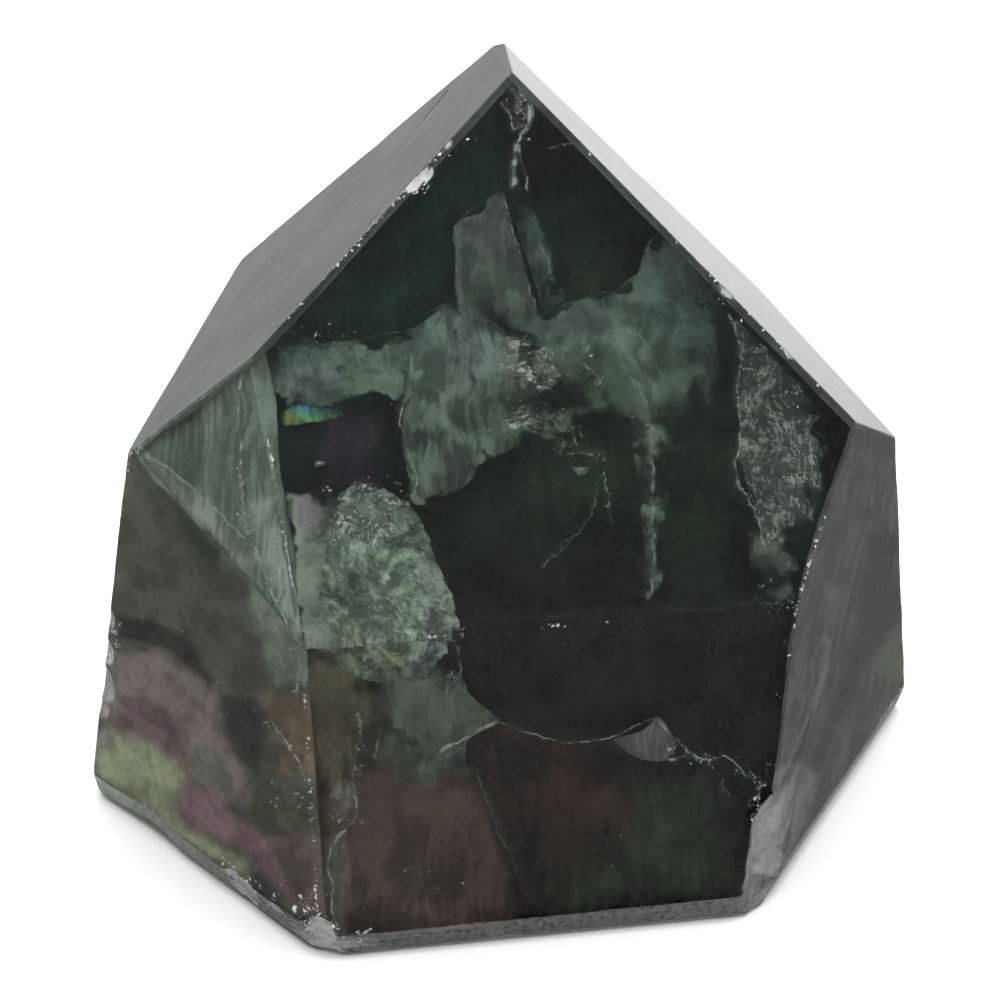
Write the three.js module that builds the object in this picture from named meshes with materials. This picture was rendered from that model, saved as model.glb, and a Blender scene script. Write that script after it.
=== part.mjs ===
// Fluorite point: a short, chunky crystal with six sides and a six-faced tip, cut and
// polished from one piece of fluorite and standing on its flat base.
// Units are millimetres and +Z is up. The origin is the middle of the base.

import * as THREE from 'three';
import { ConvexGeometry } from 'three/addons/geometries/ConvexGeometry.js';

// Each polished face is a plane. It looks towards the compass direction turn (degrees
// from +X towards +Y) and upwards by rise (degrees), and it lies at depth (millimetres)
// from the crystal's axis where the axis meets the base.
const sides = {
  front: { turn: 279, rise: 7, depth: 26.6 },
  rightFront: { turn: 335, rise: -0.7, depth: 27.4 },
  rightBack: { turn: 39.5, rise: 12.2, depth: 25.55 },
  back: { turn: 104, rise: 3.5, depth: 23.9 },
  leftBack: { turn: 164.5, rise: 8.6, depth: 26.9 },
  leftFront: { turn: 221.7, rise: 3.2, depth: 28.9 },
};
const tip = {
  front: { turn: 279.4, rise: 39.3, depth: 34.15 },
  right: { turn: 16.8, rise: 43, depth: 38.7 },
  rightBack: { turn: 42.6, rise: 31.1, depth: 33.7 },
  back: { turn: 113.5, rise: 24, depth: 31.45 },
  left: { turn: 169, rise: 45.9, depth: 39.25 },
  leftFront: { turn: 230.9, rise: 25.5, depth: 36.85 },
};

// The base edge is ground to a bevel: its height up each side, and how far it draws in.
const bevelHeight = 1.8;
const bevelInset = 0.6;

// Every other edge carries a fine ground flat, the arris, of this width.
const arrisWidth = 0.3;

const stone = { color: '#2f3b36', roughness: 0.12, metalness: 0 };

// Two points nearer than this are one corner, and a point this near a plane lies on it.
const tolerance = 1e-6;

function radians(degrees) {
  return THREE.MathUtils.degToRad(degrees);
}

function facePlane({ turn, rise, depth }) {
  const across = Math.cos(radians(rise));
  const x = across * Math.cos(radians(turn));
  const y = across * Math.sin(radians(turn));
  const z = Math.sin(radians(rise));
  return { normal: new THREE.Vector3(x, y, z), depth };
}

// The bevel's plane runs from the side's foot, drawn in by bevelInset, to the side at
// bevelHeight.
function bevelPlane({ turn, rise, depth }) {
  const slope = Math.tan(radians(rise));
  const foot = depth / Math.cos(radians(rise)) - bevelInset;
  const lean = Math.atan2(bevelInset - bevelHeight * slope, bevelHeight);
  const bevelRise = THREE.MathUtils.radToDeg(-lean);
  return facePlane({ turn, rise: bevelRise, depth: foot * Math.cos(lean) });
}

// The one point where three planes meet, or null where they are nearly parallel.
function meetingPoint(a, b, c) {
  const bCrossC = new THREE.Vector3().crossVectors(b.normal, c.normal);
  const cCrossA = new THREE.Vector3().crossVectors(c.normal, a.normal);
  const aCrossB = new THREE.Vector3().crossVectors(a.normal, b.normal);
  const volume = a.normal.dot(bCrossC);
  if (Math.abs(volume) < tolerance) {
    return null;
  }
  const point = bCrossC.multiplyScalar(a.depth);
  point.addScaledVector(cCrossA, b.depth);
  point.addScaledVector(aCrossB, c.depth);
  return point.divideScalar(volume);
}

// The corners of the solid that lies behind all the planes, each with its planes.
function findCorners(planes) {
  const corners = [];
  for (let i = 0; i < planes.length; i += 1) {
    for (let j = i + 1; j < planes.length; j += 1) {
      for (let k = j + 1; k < planes.length; k += 1) {
        const point = meetingPoint(planes[i], planes[j], planes[k]);
        const inside = (plane) => plane.normal.dot(point) < plane.depth + tolerance;
        if (point && planes.every(inside)) {
          const meeting = [planes[i], planes[j], planes[k]];
          const known = corners.find((corner) => corner.point.distanceTo(point) < tolerance);
          if (known) {
            meeting.forEach((plane) => known.planes.add(plane));
          } else {
            corners.push({ point, planes: new Set(meeting) });
          }
        }
      }
    }
  }
  return corners;
}

// The plane that takes the sharp edge between two faces down to a flat of arrisWidth.
function arrisPlane(a, b) {
  const sum = new THREE.Vector3().addVectors(a.normal, b.normal);
  const edgeDepth = (a.depth + b.depth) / sum.length();
  const halfTurn = a.normal.angleTo(b.normal) / 2;
  const cut = (arrisWidth / 2) * Math.tan(halfTurn);
  return { normal: sum.normalize(), depth: edgeDepth - cut };
}

// One arris for each pair of polished faces that share two corners.
function arrisPlanes(faces, corners) {
  const planes = [];
  for (let i = 0; i < faces.length; i += 1) {
    for (let j = i + 1; j < faces.length; j += 1) {
      const shared = corners.filter(({ planes: met }) => met.has(faces[i]) && met.has(faces[j]));
      if (shared.length > 1) {
        planes.push(arrisPlane(faces[i], faces[j]));
      }
    }
  }
  return planes;
}

function crystalGeometry() {
  const base = { normal: new THREE.Vector3(0, 0, -1), depth: 0 };
  const faces = [...Object.values(sides), ...Object.values(tip)].map(facePlane);
  const bevels = Object.values(sides).map(bevelPlane);
  const sharp = [base, ...bevels, ...faces];
  const arrises = arrisPlanes(faces, findCorners(sharp));
  const corners = findCorners([...sharp, ...arrises]);
  const geometry = new ConvexGeometry(corners.map(({ point }) => point));
  geometry.computeBoundingBox();
  const middle = geometry.boundingBox.getCenter(new THREE.Vector3());
  geometry.translate(-middle.x, -middle.y, 0);
  return geometry;
}

const crystal = new THREE.Mesh(crystalGeometry(), new THREE.MeshStandardMaterial(stone));
crystal.name = 'crystal';

const fluoritePoint = new THREE.Group();
fluoritePoint.add(crystal);

export default fluoritePoint;
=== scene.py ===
import itertools

import bpy
import numpy as np
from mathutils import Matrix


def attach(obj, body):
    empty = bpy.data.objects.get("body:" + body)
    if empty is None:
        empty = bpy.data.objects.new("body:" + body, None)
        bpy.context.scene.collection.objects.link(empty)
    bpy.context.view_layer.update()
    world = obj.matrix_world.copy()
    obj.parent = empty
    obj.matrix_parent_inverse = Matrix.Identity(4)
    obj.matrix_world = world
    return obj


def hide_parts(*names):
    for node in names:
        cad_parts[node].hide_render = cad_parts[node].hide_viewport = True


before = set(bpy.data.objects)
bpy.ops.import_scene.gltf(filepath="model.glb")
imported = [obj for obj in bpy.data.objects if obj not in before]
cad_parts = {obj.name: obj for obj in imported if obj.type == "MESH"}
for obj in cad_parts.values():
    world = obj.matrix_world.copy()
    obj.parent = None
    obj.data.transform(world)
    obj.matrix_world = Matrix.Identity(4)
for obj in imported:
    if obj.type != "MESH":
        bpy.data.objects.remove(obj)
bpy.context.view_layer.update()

scene = bpy.context.scene
mm = 0.001


def unit(vectors):
    return vectors / np.linalg.norm(vectors, axis=-1, keepdims=True)


def ramp(low, high, values):
    # 0 below low, 1 above high, and the smooth curve 3t^2 - 2t^3 between them
    t = np.clip((values - low) / (high - low), 0, 1)
    return t * t * (3 - 2 * t)


# large odd multipliers that keep neighbours and seeds apart: for each axis, the seed and the end
stir = dict(axes=(73856093, 19349663, 83492791), seed=2654435761, last=1274126177)


def scattered(cells, seed):
    # every whole-number lattice point has its own fixed number from 0 to 1
    x, y, z = (cells[..., axis].astype(np.int64) * stir["axes"][axis] for axis in range(3))
    mixed = x ^ y ^ z ^ (seed * stir["seed"])
    mixed = (mixed ^ (mixed >> 13)) * stir["last"] & 0xFFFFFFFF
    return ((mixed ^ (mixed >> 16)) & 0xFFFF) / 0xFFFF


def noise(points, cell, seed, octaves=3):
    # lattice numbers from -1 to 1, blended between the eight nearest, and each octave adds
    # half the height at half the cell size
    total, height = np.zeros(points.shape[:-1]), 1.0
    for octave in range(octaves):
        place = points / (cell * 0.5**octave)
        low = np.floor(place)
        part = place - low
        part = part * part * (3 - 2 * part)
        for corner in itertools.product((0, 1), repeat=3):
            share = np.prod(np.where(corner, part, 1 - part), axis=-1)
            total += height * share * (2 * scattered(low + corner, seed + octave) - 1)
        height *= 0.5
    return total


# the camera stands in front and looks down on the stone
view = dict(target=(-0.34, 0.86, 20.4), distance=330, elevation=32.6, lens=159.5, sensor=36, frame=1000,
            clip=(0.01, 20))

focalPixels = view["lens"] / view["sensor"] * view["frame"]
pixelSize = view["distance"] / focalPixels  # mm that one pixel spans at the stone


def sightFrom(azimuth):
    # the camera's place and its three ways once it has gone round the stone by the azimuth
    turn, lean = np.radians(azimuth), np.radians(view["elevation"])
    level = np.array([-np.sin(turn), np.cos(turn), 0])
    ahead = level * np.cos(lean) - np.array([0, 0, np.sin(lean)])
    upward = level * np.sin(lean) + np.array([0, 0, np.cos(lean)])
    eye = np.array(view["target"]) * mm - ahead * view["distance"] * mm
    return dict(eye=eye, ahead=ahead, upward=upward, rightward=np.cross(ahead, upward))


azimuths = (0, 75, 150, 225, 290)  # the photo's, and those that hidden chips and cracks are placed from
sights = {azimuth: sightFrom(azimuth) for azimuth in azimuths}


def placeCamera():
    data = bpy.data.cameras.new("camera")
    data.lens, data.sensor_width = view["lens"], view["sensor"]
    data.clip_start, data.clip_end = view["clip"]
    camera = bpy.data.objects.new("camera", data)
    scene.collection.objects.link(camera)
    camera.location = sights[0]["eye"]
    camera.rotation_euler = (np.radians(90 - view["elevation"]), 0, 0)
    scene.camera = camera


placeCamera()
print("camera placed")


# the polished faces, read off the frame: every plane that holds more than a sliver of skin
stone = dict(
    leastFace=20,  # mm2
    ior=1.434,
    absorbColour=(0.22, 0.34, 0.28),
    absorbDensity=160,
    grit=(2600, 1, 0.65),  # scale, detail and roughness of the noise that breaks up the finish
    wearShare=0.35,
    rubbed=(0.84, 0.94),
    ground=(0.25, 0.6, 0.55, 1),
    polish=(0.3, 0.8, 0.005, 0.02),
    clearColour=(0.96, 1, 0.98, 1),
    frostColour=(0.5, 0.49, 0.51, 1),
    frostRough=0.6,
    frostClear=0.25,
)

# tolerances: the cosines of two alike normals and of a grazing ray, the least volume that three
# normals span, the metres behind and on a plane, and a direction that no face looks in
tight = dict(alike=0.9999, grazing=1e-6, spanned=1e-3, behind=1e-7, on=2e-6, skew=(0.31, 0.17, 0.93))


def readPlanes(node):
    mesh = node.data
    count = len(mesh.polygons)
    normals, areas = np.empty(count * 3), np.empty(count)
    mesh.polygons.foreach_get("normal", normals)
    mesh.polygons.foreach_get("area", areas)
    normals = normals.reshape(-1, 3)
    points = np.empty(len(mesh.vertices) * 3)
    mesh.vertices.foreach_get("co", points)
    points = points.reshape(-1, 3)
    found = []
    left = np.ones(count, bool)
    while left.any():
        alike = left & (normals @ normals[np.argmax(left)] > tight["alike"])
        if areas[alike].sum() > stone["leastFace"] * mm * mm:
            normal = unit((normals[alike] * areas[alike, None]).sum(0))
            found.append((*normal, (points @ normal).max()))
        left &= ~alike
    return np.array(found)


planes = readPlanes(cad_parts["crystal"])
faceWays, faceDepths = planes[:, :3], planes[:, 3]
print("polished faces read:", len(planes))


def pixelWays(x, y, sight):
    # straight ahead, plus the pixel's offset from the middle over the focal length
    side = (x - view["frame"] / 2) / focalPixels
    rise = (view["frame"] / 2 - y) / focalPixels
    return unit(sight["ahead"] + side[..., None] * sight["rightward"] + rise[..., None] * sight["upward"])


def entry(x, y, through=None, azimuth=0):
    # a pixel's ray enters the stone at the last plane that it meets from outside, or at the
    # face which the pixel named by through lies on
    sight = sights[azimuth]
    ways = pixelWays(x, y, sight)
    facing = ways @ faceWays.T
    reach = (faceDepths - faceWays @ sight["eye"]) / facing
    face = np.where(facing < -tight["grazing"], reach, -np.inf).argmax(-1)
    if through is not None:
        named = pixelWays(np.array(float(through[0])), np.array(float(through[1])), sight) @ faceWays.T
        meets = (faceDepths - faceWays @ sight["eye"]) / named
        face = np.full(face.shape, np.where(named < -tight["grazing"], meets, -np.inf).argmax())
    distance = np.take_along_axis(reach, face[..., None], -1)
    return sight["eye"] + ways * distance, ways, faceWays[face]


def keptInside(points, margin):
    # pushed back behind every plane, then towards the heart from the rounded and chipped skin
    points = points.copy()
    for way, depth in zip(faceWays, faceDepths):
        excess = np.maximum(points @ way - (depth - margin * mm), 0)
        points -= excess[..., None] * way
    surface = scarred(rounded(points, sharpnessAt(points)), spheres)[0]
    way, far = unit(points - heart), np.linalg.norm(points - heart, axis=-1)
    room = np.linalg.norm(surface - heart, axis=-1) - margin * mm
    return heart + way * np.minimum(far, room)[..., None]


def inward(x, y, depth, through=None, azimuth=0, margin=0.1):
    # Snell's law bends the ray at the face, and it runs on until it lies depth mm below it
    start, ways, normals = entry(x, y, through, azimuth)
    cosIn = -(ways * normals).sum(-1)
    ratio = 1 / stone["ior"]
    cosOut = np.sqrt(1 - ratio**2 * (1 - cosIn**2))
    bent = ratio * ways + (ratio * cosIn - cosOut)[..., None] * normals
    points = start + bent * (depth * mm / cosOut)[..., None]
    return keptInside(points, margin)


# the stone's skin: crisp ground edges, rubbed rounder in places, worn at one corner and chipped
skin = dict(
    heart=(0, 0, 24),  # every ray that shapes the skin starts here, in mm
    weld=1.2,
    step=0.32,
    rows=(0.05, 0.1, 0.16, 0.23, 0.32, 0.45, 0.62, 0.85, 1.15, 1.6, 2.2),
    crisp=620,
    rubbed=220,
    worn=[dict(at=(-27.5, -13.5, 1.5), reach=4, sharpness=50), dict(at=(-3, 1, 54), reach=3, sharpness=160)],
    bevelFrost=0.3,
    merge=0.002,  # points nearer than this are one
    roomShare=0.6,  # rows stop at this share of the way to a face's middle
    closing=(0.75, 0.5, 0.25),
    patchCell=5,
    patchRange=(-0.1, 0.7),
    patchSeed=5,
    girth=26,
    wearWidth=0.2,
    bevelLean=(-0.9, -0.08),
    scarRim=0.05,
    leastFrost=0.01,
)
heart = np.array(skin["heart"]) * mm


def cornersOf():
    # every three planes meet in a point, and the ones behind all planes are corners
    trios = np.array(list(itertools.combinations(range(len(planes)), 3)))
    ways = faceWays[trios]
    crossing = np.abs(np.linalg.det(ways)) > tight["spanned"]
    trios, ways = trios[crossing], ways[crossing]
    points = np.linalg.solve(ways, faceDepths[trios][..., None])[..., 0]
    behind = (points @ faceWays.T < faceDepths + tight["behind"]).all(1)
    return points[behind]


def outlineOf(plane, corners):
    # the corners on one plane, in order round its middle
    way, depth = faceWays[plane], faceDepths[plane]
    mine = corners[np.abs(corners @ way - depth) < tight["on"]]
    across = unit(np.cross(way, tight["skew"]))
    middle = mine.mean(0)
    turn = np.arctan2((mine - middle) @ np.cross(way, across), (mine - middle) @ across)
    return mine[np.argsort(turn)]


def mergedCorners(points):
    # corners nearer than the weld distance become their middle
    groups = []
    for point in points:
        near = [g for g in groups if np.linalg.norm(g[0] - point) < skin["weld"] * mm]
        if near:
            near[0].append(point)
        else:
            groups.append([point])
    return np.array([np.mean(group, 0) for group in groups])


def insetCorners(loop, way, distance):
    # each side moves in by distance, and each corner goes to where its two sides now meet
    along = unit(np.roll(loop, -1, 0) - loop)
    after = np.cross(way, along)
    before = np.roll(after, 1, 0)
    spread = 1 + (before * after).sum(1, keepdims=True)
    return loop + (before + after) / spread * distance


def rounded(points, sharpness):
    # along each ray from the heart the skin lies at 1 / (sum of (n.d / depth)^q)^(1/q), which
    # is the plane itself on a face and a small round where faces meet
    way = unit(points - heart)
    reach = np.maximum(way @ faceWays.T / (faceDepths - faceWays @ heart), 0)
    most = reach.max(-1)
    total = ((reach / most[..., None]) ** sharpness[..., None]).sum(-1)
    return heart + way / (most * total ** (1 / sharpness))[..., None]


def gridCells(rows, columns, first=0):
    index = np.arange(rows * columns).reshape(rows, columns) + first
    cells = [index[:-1, :-1], index[:-1, 1:], index[1:, 1:], index[1:, :-1]]
    return np.stack(cells, -1).reshape(-1, 4)


def skinMesh():
    # each face is rings of points between inset outlines, closed by a fan to its middle
    corners = cornersOf()
    merged = mergedCorners(corners)
    nearest = np.argmin(np.linalg.norm(corners[:, None] - merged[None], axis=2), axis=1)
    points, cells, count = [], [], 0
    for plane in range(len(planes)):
        loop = outlineOf(plane, corners)
        ids = [nearest[np.argmin(np.linalg.norm(corners - p, axis=1))] for p in loop]
        ids = [i for i, j in zip(ids, ids[-1:] + ids[:-1]) if i != j]
        loop, way = merged[ids], faceWays[plane]
        sides = np.roll(loop, -1, 0) - loop
        middle = loop.mean(0)
        room = ((middle - loop) * np.cross(way, unit(sides))).sum(1).min()
        rows = [r * mm for r in skin["rows"] if r * mm < room * skin["roomShare"]]
        rings = [loop] + [insetCorners(loop, way, r) for r in rows]
        rings += [middle + (rings[-1] - middle) * s for s in skin["closing"]]
        rings = np.array(rings)
        for side in range(len(loop)):
            columns = 1 + max(2, int(round(np.linalg.norm(sides[side]) / (skin["step"] * mm))))
            start, end = rings[:, side], rings[:, (side + 1) % len(loop)]
            share = np.linspace(0, 1, columns)[None, :, None]
            grid = start[:, None] + (end - start)[:, None] * share
            cells.append(gridCells(len(rings), columns, count))
            rim = count + (len(rings) - 1) * columns + np.arange(columns)
            count += grid.shape[0] * columns
            tip = np.full(columns - 1, count)
            cells.append(np.stack([rim[:-1], rim[1:], tip, tip], -1))
            count += 1
            points += [grid.reshape(-1, 3), middle[None]]
    points, cells = np.concatenate(points), np.concatenate(cells)
    keys = np.round(points / (skin["merge"] * mm)).astype(np.int64)
    _, first, back = np.unique(keys, axis=0, return_index=True, return_inverse=True)
    return points[first], back.reshape(-1)[cells]


def makePiece(name, points, cells, material, marks, smooth=True):
    # marks are numbers or colours kept at each point
    faces = [tuple(dict.fromkeys(cell)) for cell in cells.tolist()]
    faces = [face for face in faces if len(face) > 2]
    mesh = bpy.data.meshes.new(name)
    mesh.from_pydata(points.tolist(), [], faces)
    mesh.update()
    mesh.polygons.foreach_set("use_smooth", [smooth] * len(mesh.polygons))
    for mark, values in marks.items():
        if values.ndim == 1:
            mesh.attributes.new(mark, "FLOAT", "POINT").data.foreach_set("value", values)
        else:
            colours = np.concatenate([values, np.ones((len(values), 1))], 1)
            mesh.attributes.new(mark, "FLOAT_COLOR", "POINT").data.foreach_set("color", colours.ravel())
    mesh.materials.append(material)
    piece = bpy.data.objects.new(name, mesh)
    scene.collection.objects.link(piece)
    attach(piece, "root")
    return piece


# material helpers: put adds a node, and a value that is another node's output is linked
def put(tree, kind, settings=None, **values):
    node = tree.nodes.new("ShaderNode" + kind)
    for name, value in (settings or {}).items():
        setattr(node, name, value)
    for name, value in values.items():
        feed(tree, node.inputs[name.replace("_", " ")], value)
    return node


def feed(tree, socket, value):
    if isinstance(value, bpy.types.NodeSocket):
        tree.links.new(value, socket)
    else:
        socket.default_value = value


def math(tree, operation, first, second=0.0):
    node = tree.nodes.new("ShaderNodeMath")
    node.operation = operation
    feed(tree, node.inputs[0], first)
    feed(tree, node.inputs[1], second)
    return node.outputs[0]


def between(tree, value, low, high, toLow=0.0, toHigh=1.0):
    settings = dict(interpolation_type="SMOOTHSTEP")
    node = put(tree, "MapRange", settings, Value=value, From_Min=low, From_Max=high, To_Min=toLow,
               To_Max=toHigh)
    return node.outputs[0]


def blended(tree, share, first, second):
    node = tree.nodes.new("ShaderNodeMix")
    node.data_type = "RGBA"
    feed(tree, node.inputs[0], share)
    feed(tree, node.inputs[6], first)
    feed(tree, node.inputs[7], second)
    return node.outputs[2]


def noiseOf(tree, vector, scale, detail=3.0, rough=0.55):
    return put(tree, "TexNoise", Vector=vector, Scale=scale, Detail=detail, Roughness=rough).outputs[0]


def markOf(tree, name):
    return put(tree, "Attribute", dict(attribute_name=name))


def newMaterial(name):
    material = bpy.data.materials.new(name)
    material.use_nodes = True
    return material, material.node_tree, material.node_tree.nodes["Principled BSDF"]


def stoneMaterial():
    material, tree, surface = newMaterial("fluorite")
    surface.inputs["IOR"].default_value = stone["ior"]
    place = put(tree, "TexCoord").outputs["Object"]
    wear = markOf(tree, "wear").outputs["Fac"]
    frosted = markOf(tree, "frosted").outputs["Fac"]
    grit = noiseOf(tree, place, *stone["grit"])
    worn = math(tree, "ADD", math(tree, "MULTIPLY", wear, stone["wearShare"]), grit)
    rubbed = between(tree, worn, *stone["rubbed"])
    ground = math(tree, "MULTIPLY", frosted, between(tree, grit, *stone["ground"]))
    frost = math(tree, "MAXIMUM", rubbed, ground)
    polish = between(tree, grit, *stone["polish"])
    colour = blended(tree, frost, stone["clearColour"], stone["frostColour"])
    feed(tree, surface.inputs["Base Color"], colour)
    rough = math(tree, "MAXIMUM", polish, math(tree, "MULTIPLY", frost, stone["frostRough"]))
    feed(tree, surface.inputs["Roughness"], rough)
    feed(tree, surface.inputs["Transmission Weight"], between(tree, frost, 0, 1, 1, stone["frostClear"]))
    absorb = put(tree, "VolumeAbsorption", Color=(*stone["absorbColour"], 1), Density=stone["absorbDensity"])
    tree.links.new(absorb.outputs[0], tree.nodes["Material Output"].inputs["Volume"])
    return material


def rubbedAt(points):
    # rubbed edges come in patches, 1 where they are rubbed most
    return ramp(*skin["patchRange"], noise(points, skin["patchCell"] * mm, skin["patchSeed"]))


def sharpnessAt(points):
    # the size of the round grows as 1 / sharpness, so the blend between two goes by that
    soft = 1 / (skin["crisp"] + (skin["rubbed"] - skin["crisp"]) * rubbedAt(points))
    for spot in skin["worn"]:
        away = np.linalg.norm(points - np.array(spot["at"]) * mm, axis=-1) / (spot["reach"] * mm)
        soft = soft + (1 / spot["sharpness"] - soft) * np.exp(-(away**2))
    return 1 / soft


def reachOf(points):
    # how far towards each plane a point's ray from the heart gets, against the distance there
    return unit(points - heart) @ faceWays.T / (faceDepths - faceWays @ heart)


def skinWear(points):
    # how near each point lies to an edge: the gap between its nearest two faces
    reach = np.sort(reachOf(points), axis=-1)
    gap = (1 - reach[:, -2] / reach[:, -1]) * skin["girth"]
    return np.exp(-gap / skin["wearWidth"]) * rubbedAt(points)


def groundHere(points):
    # the base bevels are ground, not polished: their planes look a little downwards
    way = faceWays[reachOf(points).argmax(-1)]
    most, least = skin["bevelLean"]
    return skin["bevelFrost"] * ((way[:, 2] < least) & (way[:, 2] > most))


# chips: each leaves part of a sphere as its scar, at a pixel of the view from the azimuth,
# with its width, depth and frost, in mm and from 0 to 1
def chip(x, y, width, depth, frost=0.5, azimuth=0):
    return dict(at=(x, y), width=width, depth=depth, frost=frost, azimuth=azimuth)


chips = [
    chip(415, 189, 0.45, 0.09, 1), chip(427, 180, 0.3, 0.06, 0.9), chip(372, 222, 0.25, 0.04),
    chip(447, 148, 0.25, 0.04),
    chip(723, 294, 0.3, 0.05), chip(785, 352, 0.3, 0.05), chip(113, 616, 0.5, 0.07, 0.45),
    chip(110, 645, 0.7, 0.11, 0.5),
    chip(108, 672, 0.8, 0.1, 0.45), chip(105, 700, 0.4, 0.05, 0.4), chip(232, 872, 0.7, 0.14, 0.9),
    chip(243, 883, 0.9, 0.18, 0.9), chip(272, 905, 0.6, 0.1, 0.7),
    chip(312, 932, 1.3, 0.26, 0.7), chip(330, 942, 1.3, 0.3, 0.8), chip(322, 920, 0.8, 0.12, 0.6),
    chip(792, 768, 1.3, 0.2, 0.2),
    chip(781, 796, 2.1, 0.42, 0.4), chip(777, 826, 2.1, 0.44, 0.34), chip(771, 854, 1.9, 0.42, 0.3),
    chip(766, 880, 1.7, 0.4, 0.36),
    chip(758, 897, 1.2, 0.3, 0.5), chip(430, 320, 0.7, 0.08, 0.15, 150), chip(620, 200, 0.5, 0.08, 0.15, 150),
    chip(700, 905, 0.9, 0.18, 0.3, 150), chip(240, 700, 0.7, 0.1, 0.2, 225),
    chip(560, 930, 1.0, 0.2, 0.3, 225),
    chip(700, 480, 0.6, 0.08, 0.2, 75), chip(720, 900, 0.9, 0.18, 0.3, 75),
    chip(300, 560, 0.6, 0.08, 0.2, 290),
]


def chipSpheres():
    # a scar of this width and depth lies on a sphere of radius (width^2 + depth^2) / 2 depth,
    # whose middle is outside the stone
    spheres = []
    for mark in chips:
        spot = entry(np.array([float(mark["at"][0])]), np.array([float(mark["at"][1])]), None,
                     mark["azimuth"])[0]
        spot = rounded(spot, sharpnessAt(spot))[0]
        width, depth = mark["width"] * mm, mark["depth"] * mm
        radius = (width**2 + depth**2) / (2 * depth)
        spheres.append((spot + unit(spot - heart) * (radius - depth), radius, mark["frost"]))
    return spheres


def scarred(points, spheres):
    # along each ray from the heart the skin ends where the ray first meets a chip's sphere
    way, far = unit(points - heart), np.linalg.norm(points - heart, axis=-1)
    frost = np.zeros(far.shape)
    for middle, radius, rough in spheres:
        along = way @ (middle - heart)
        inside = radius**2 - ((middle - heart) ** 2).sum() + along**2
        meet = along - np.sqrt(np.maximum(inside, 0))
        cut = (inside > 0) & (meet < far) & (along > 0)
        frost = np.where(cut, np.maximum(frost, rough * ramp(0, skin["scarRim"] * mm, far - meet)), frost)
        far = np.where(cut, meet, far)
    return heart + way * far[..., None], frost


spheres = chipSpheres()


def makeSkin():
    points, cells = skinMesh()
    wear, ground = skinWear(points), groundHere(points)
    points, frost = scarred(rounded(points, sharpnessAt(points)), spheres)
    marks = dict(wear=wear * (frost < skin["leastFrost"]), frosted=np.maximum(ground, frost))
    piece = makePiece("fluorite_point", points, cells, stoneMaterial(), marks)
    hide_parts("crystal")
    print("skin made:", len(points), "points and", len(chips), "chips")


makeSkin()


# veils: healed fractures and clouds inside the stone, each a sheet between two outlines
def smoothLine(outline, count):
    # a cubic curve through the outline, its points spread evenly along the length
    spots = np.array(outline, float)
    lengths = np.linalg.norm(np.diff(spots, axis=0), axis=1)
    knots = np.concatenate([[0], np.cumsum(lengths)])
    slopes = np.gradient(spots, knots, axis=0)
    at = np.linspace(0, knots[-1], count)
    stretch = np.clip(np.searchsorted(knots, at, side="right") - 1, 0, len(spots) - 2)
    span = knots[stretch + 1] - knots[stretch]
    t = ((at - knots[stretch]) / span)[:, None]
    start, end = spots[stretch], spots[stretch + 1]
    leave, arrive = slopes[stretch] * span[:, None], slopes[stretch + 1] * span[:, None]
    curve = (2 * t**3 - 3 * t**2 + 1) * start + (t**3 - 2 * t**2 + t) * leave
    return curve + (3 * t**2 - 2 * t**3) * end + (t**3 - t**2) * arrive


def shards(flat, size, seed):
    # each point belongs to the nearest jittered lattice point: tone is that shard's own
    # number, and rim is how much nearer it lies than the next one
    place = flat / size
    low = np.floor(place)
    nearest, following = np.full(low.shape[:-1], 9.0), np.full(low.shape[:-1], 9.0)
    tone = np.zeros(low.shape[:-1])
    for step in itertools.product((-1, 0, 1), repeat=2):
        cell = np.concatenate([low + step, np.zeros(low.shape[:-1] + (1,))], -1)
        centre = cell[..., :2] + np.stack([scattered(cell, seed), scattered(cell, seed + 1)], -1)
        away = np.linalg.norm(place - centre, axis=-1)
        closer = away < nearest
        following = np.where(closer, nearest, np.minimum(following, away))
        tone = np.where(closer, scattered(cell, seed + 2), tone)
        nearest = np.where(closer, away, nearest)
    return tone, following - nearest


# how the patterns are drawn: the step that a seed takes through the noise, cells in mm, octaves,
# how much of a shard is tone and how wide its rim is, and how thin and long a wisp is
pattern = dict(seedStep=3.7, warpCell=2.2, warpOctaves=2, octaves=4, shardTone=0.75, shardRim=0.15,
               wispWidth=0.10, wispOctaves=3, wispLong=0.6)


def texture(flat, look, seed):
    # soft cloud, long streaks, broken shards and thin wisps are laid over warped ground, and
    # their weighted mean runs from 0 at the low end of the range to 1 at the high end
    space = np.concatenate([flat, np.full(flat.shape[:-1] + (1,), seed * pattern["seedStep"])], -1)
    bend = [noise(space, pattern["warpCell"], seed + turn, pattern["warpOctaves"]) for turn in (1, 2)]
    warp = np.stack([*bend, 0 * flat[..., 0]], -1)
    space = space + warp * look["warp"]
    share, size = look["cloud"]
    total, weight = share * (0.5 + 0.5 * noise(space, size, seed + 3, pattern["octaves"])), share
    share, size, stretch, turn = look["streak"]
    cosine, sine = np.cos(np.radians(turn)), np.sin(np.radians(turn))
    along = (space[..., 1] * cosine - space[..., 0] * sine) / stretch
    aside = space[..., 0] * cosine + space[..., 1] * sine
    grain = np.stack([aside, along, space[..., 2]], -1)
    total = total + share * (0.5 + 0.5 * noise(grain, size, seed + 4, pattern["octaves"]))
    weight = weight + share
    share, size = look["shard"]
    if share:
        tone, rim = shards(space[..., :2], size, seed + 5)
        mixed = pattern["shardTone"] * tone + (1 - pattern["shardTone"]) * ramp(pattern["shardRim"], 0, rim)
        total, weight = total + share * mixed, weight + share
    share, size = look["wisp"]
    if share:
        strands = noise(grain * (1, pattern["wispLong"], 1), size, seed + 6, pattern["wispOctaves"])
        total = total + share * ramp(pattern["wispWidth"], 0, np.abs(strands))
    return ramp(*look["range"], total / weight)


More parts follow.
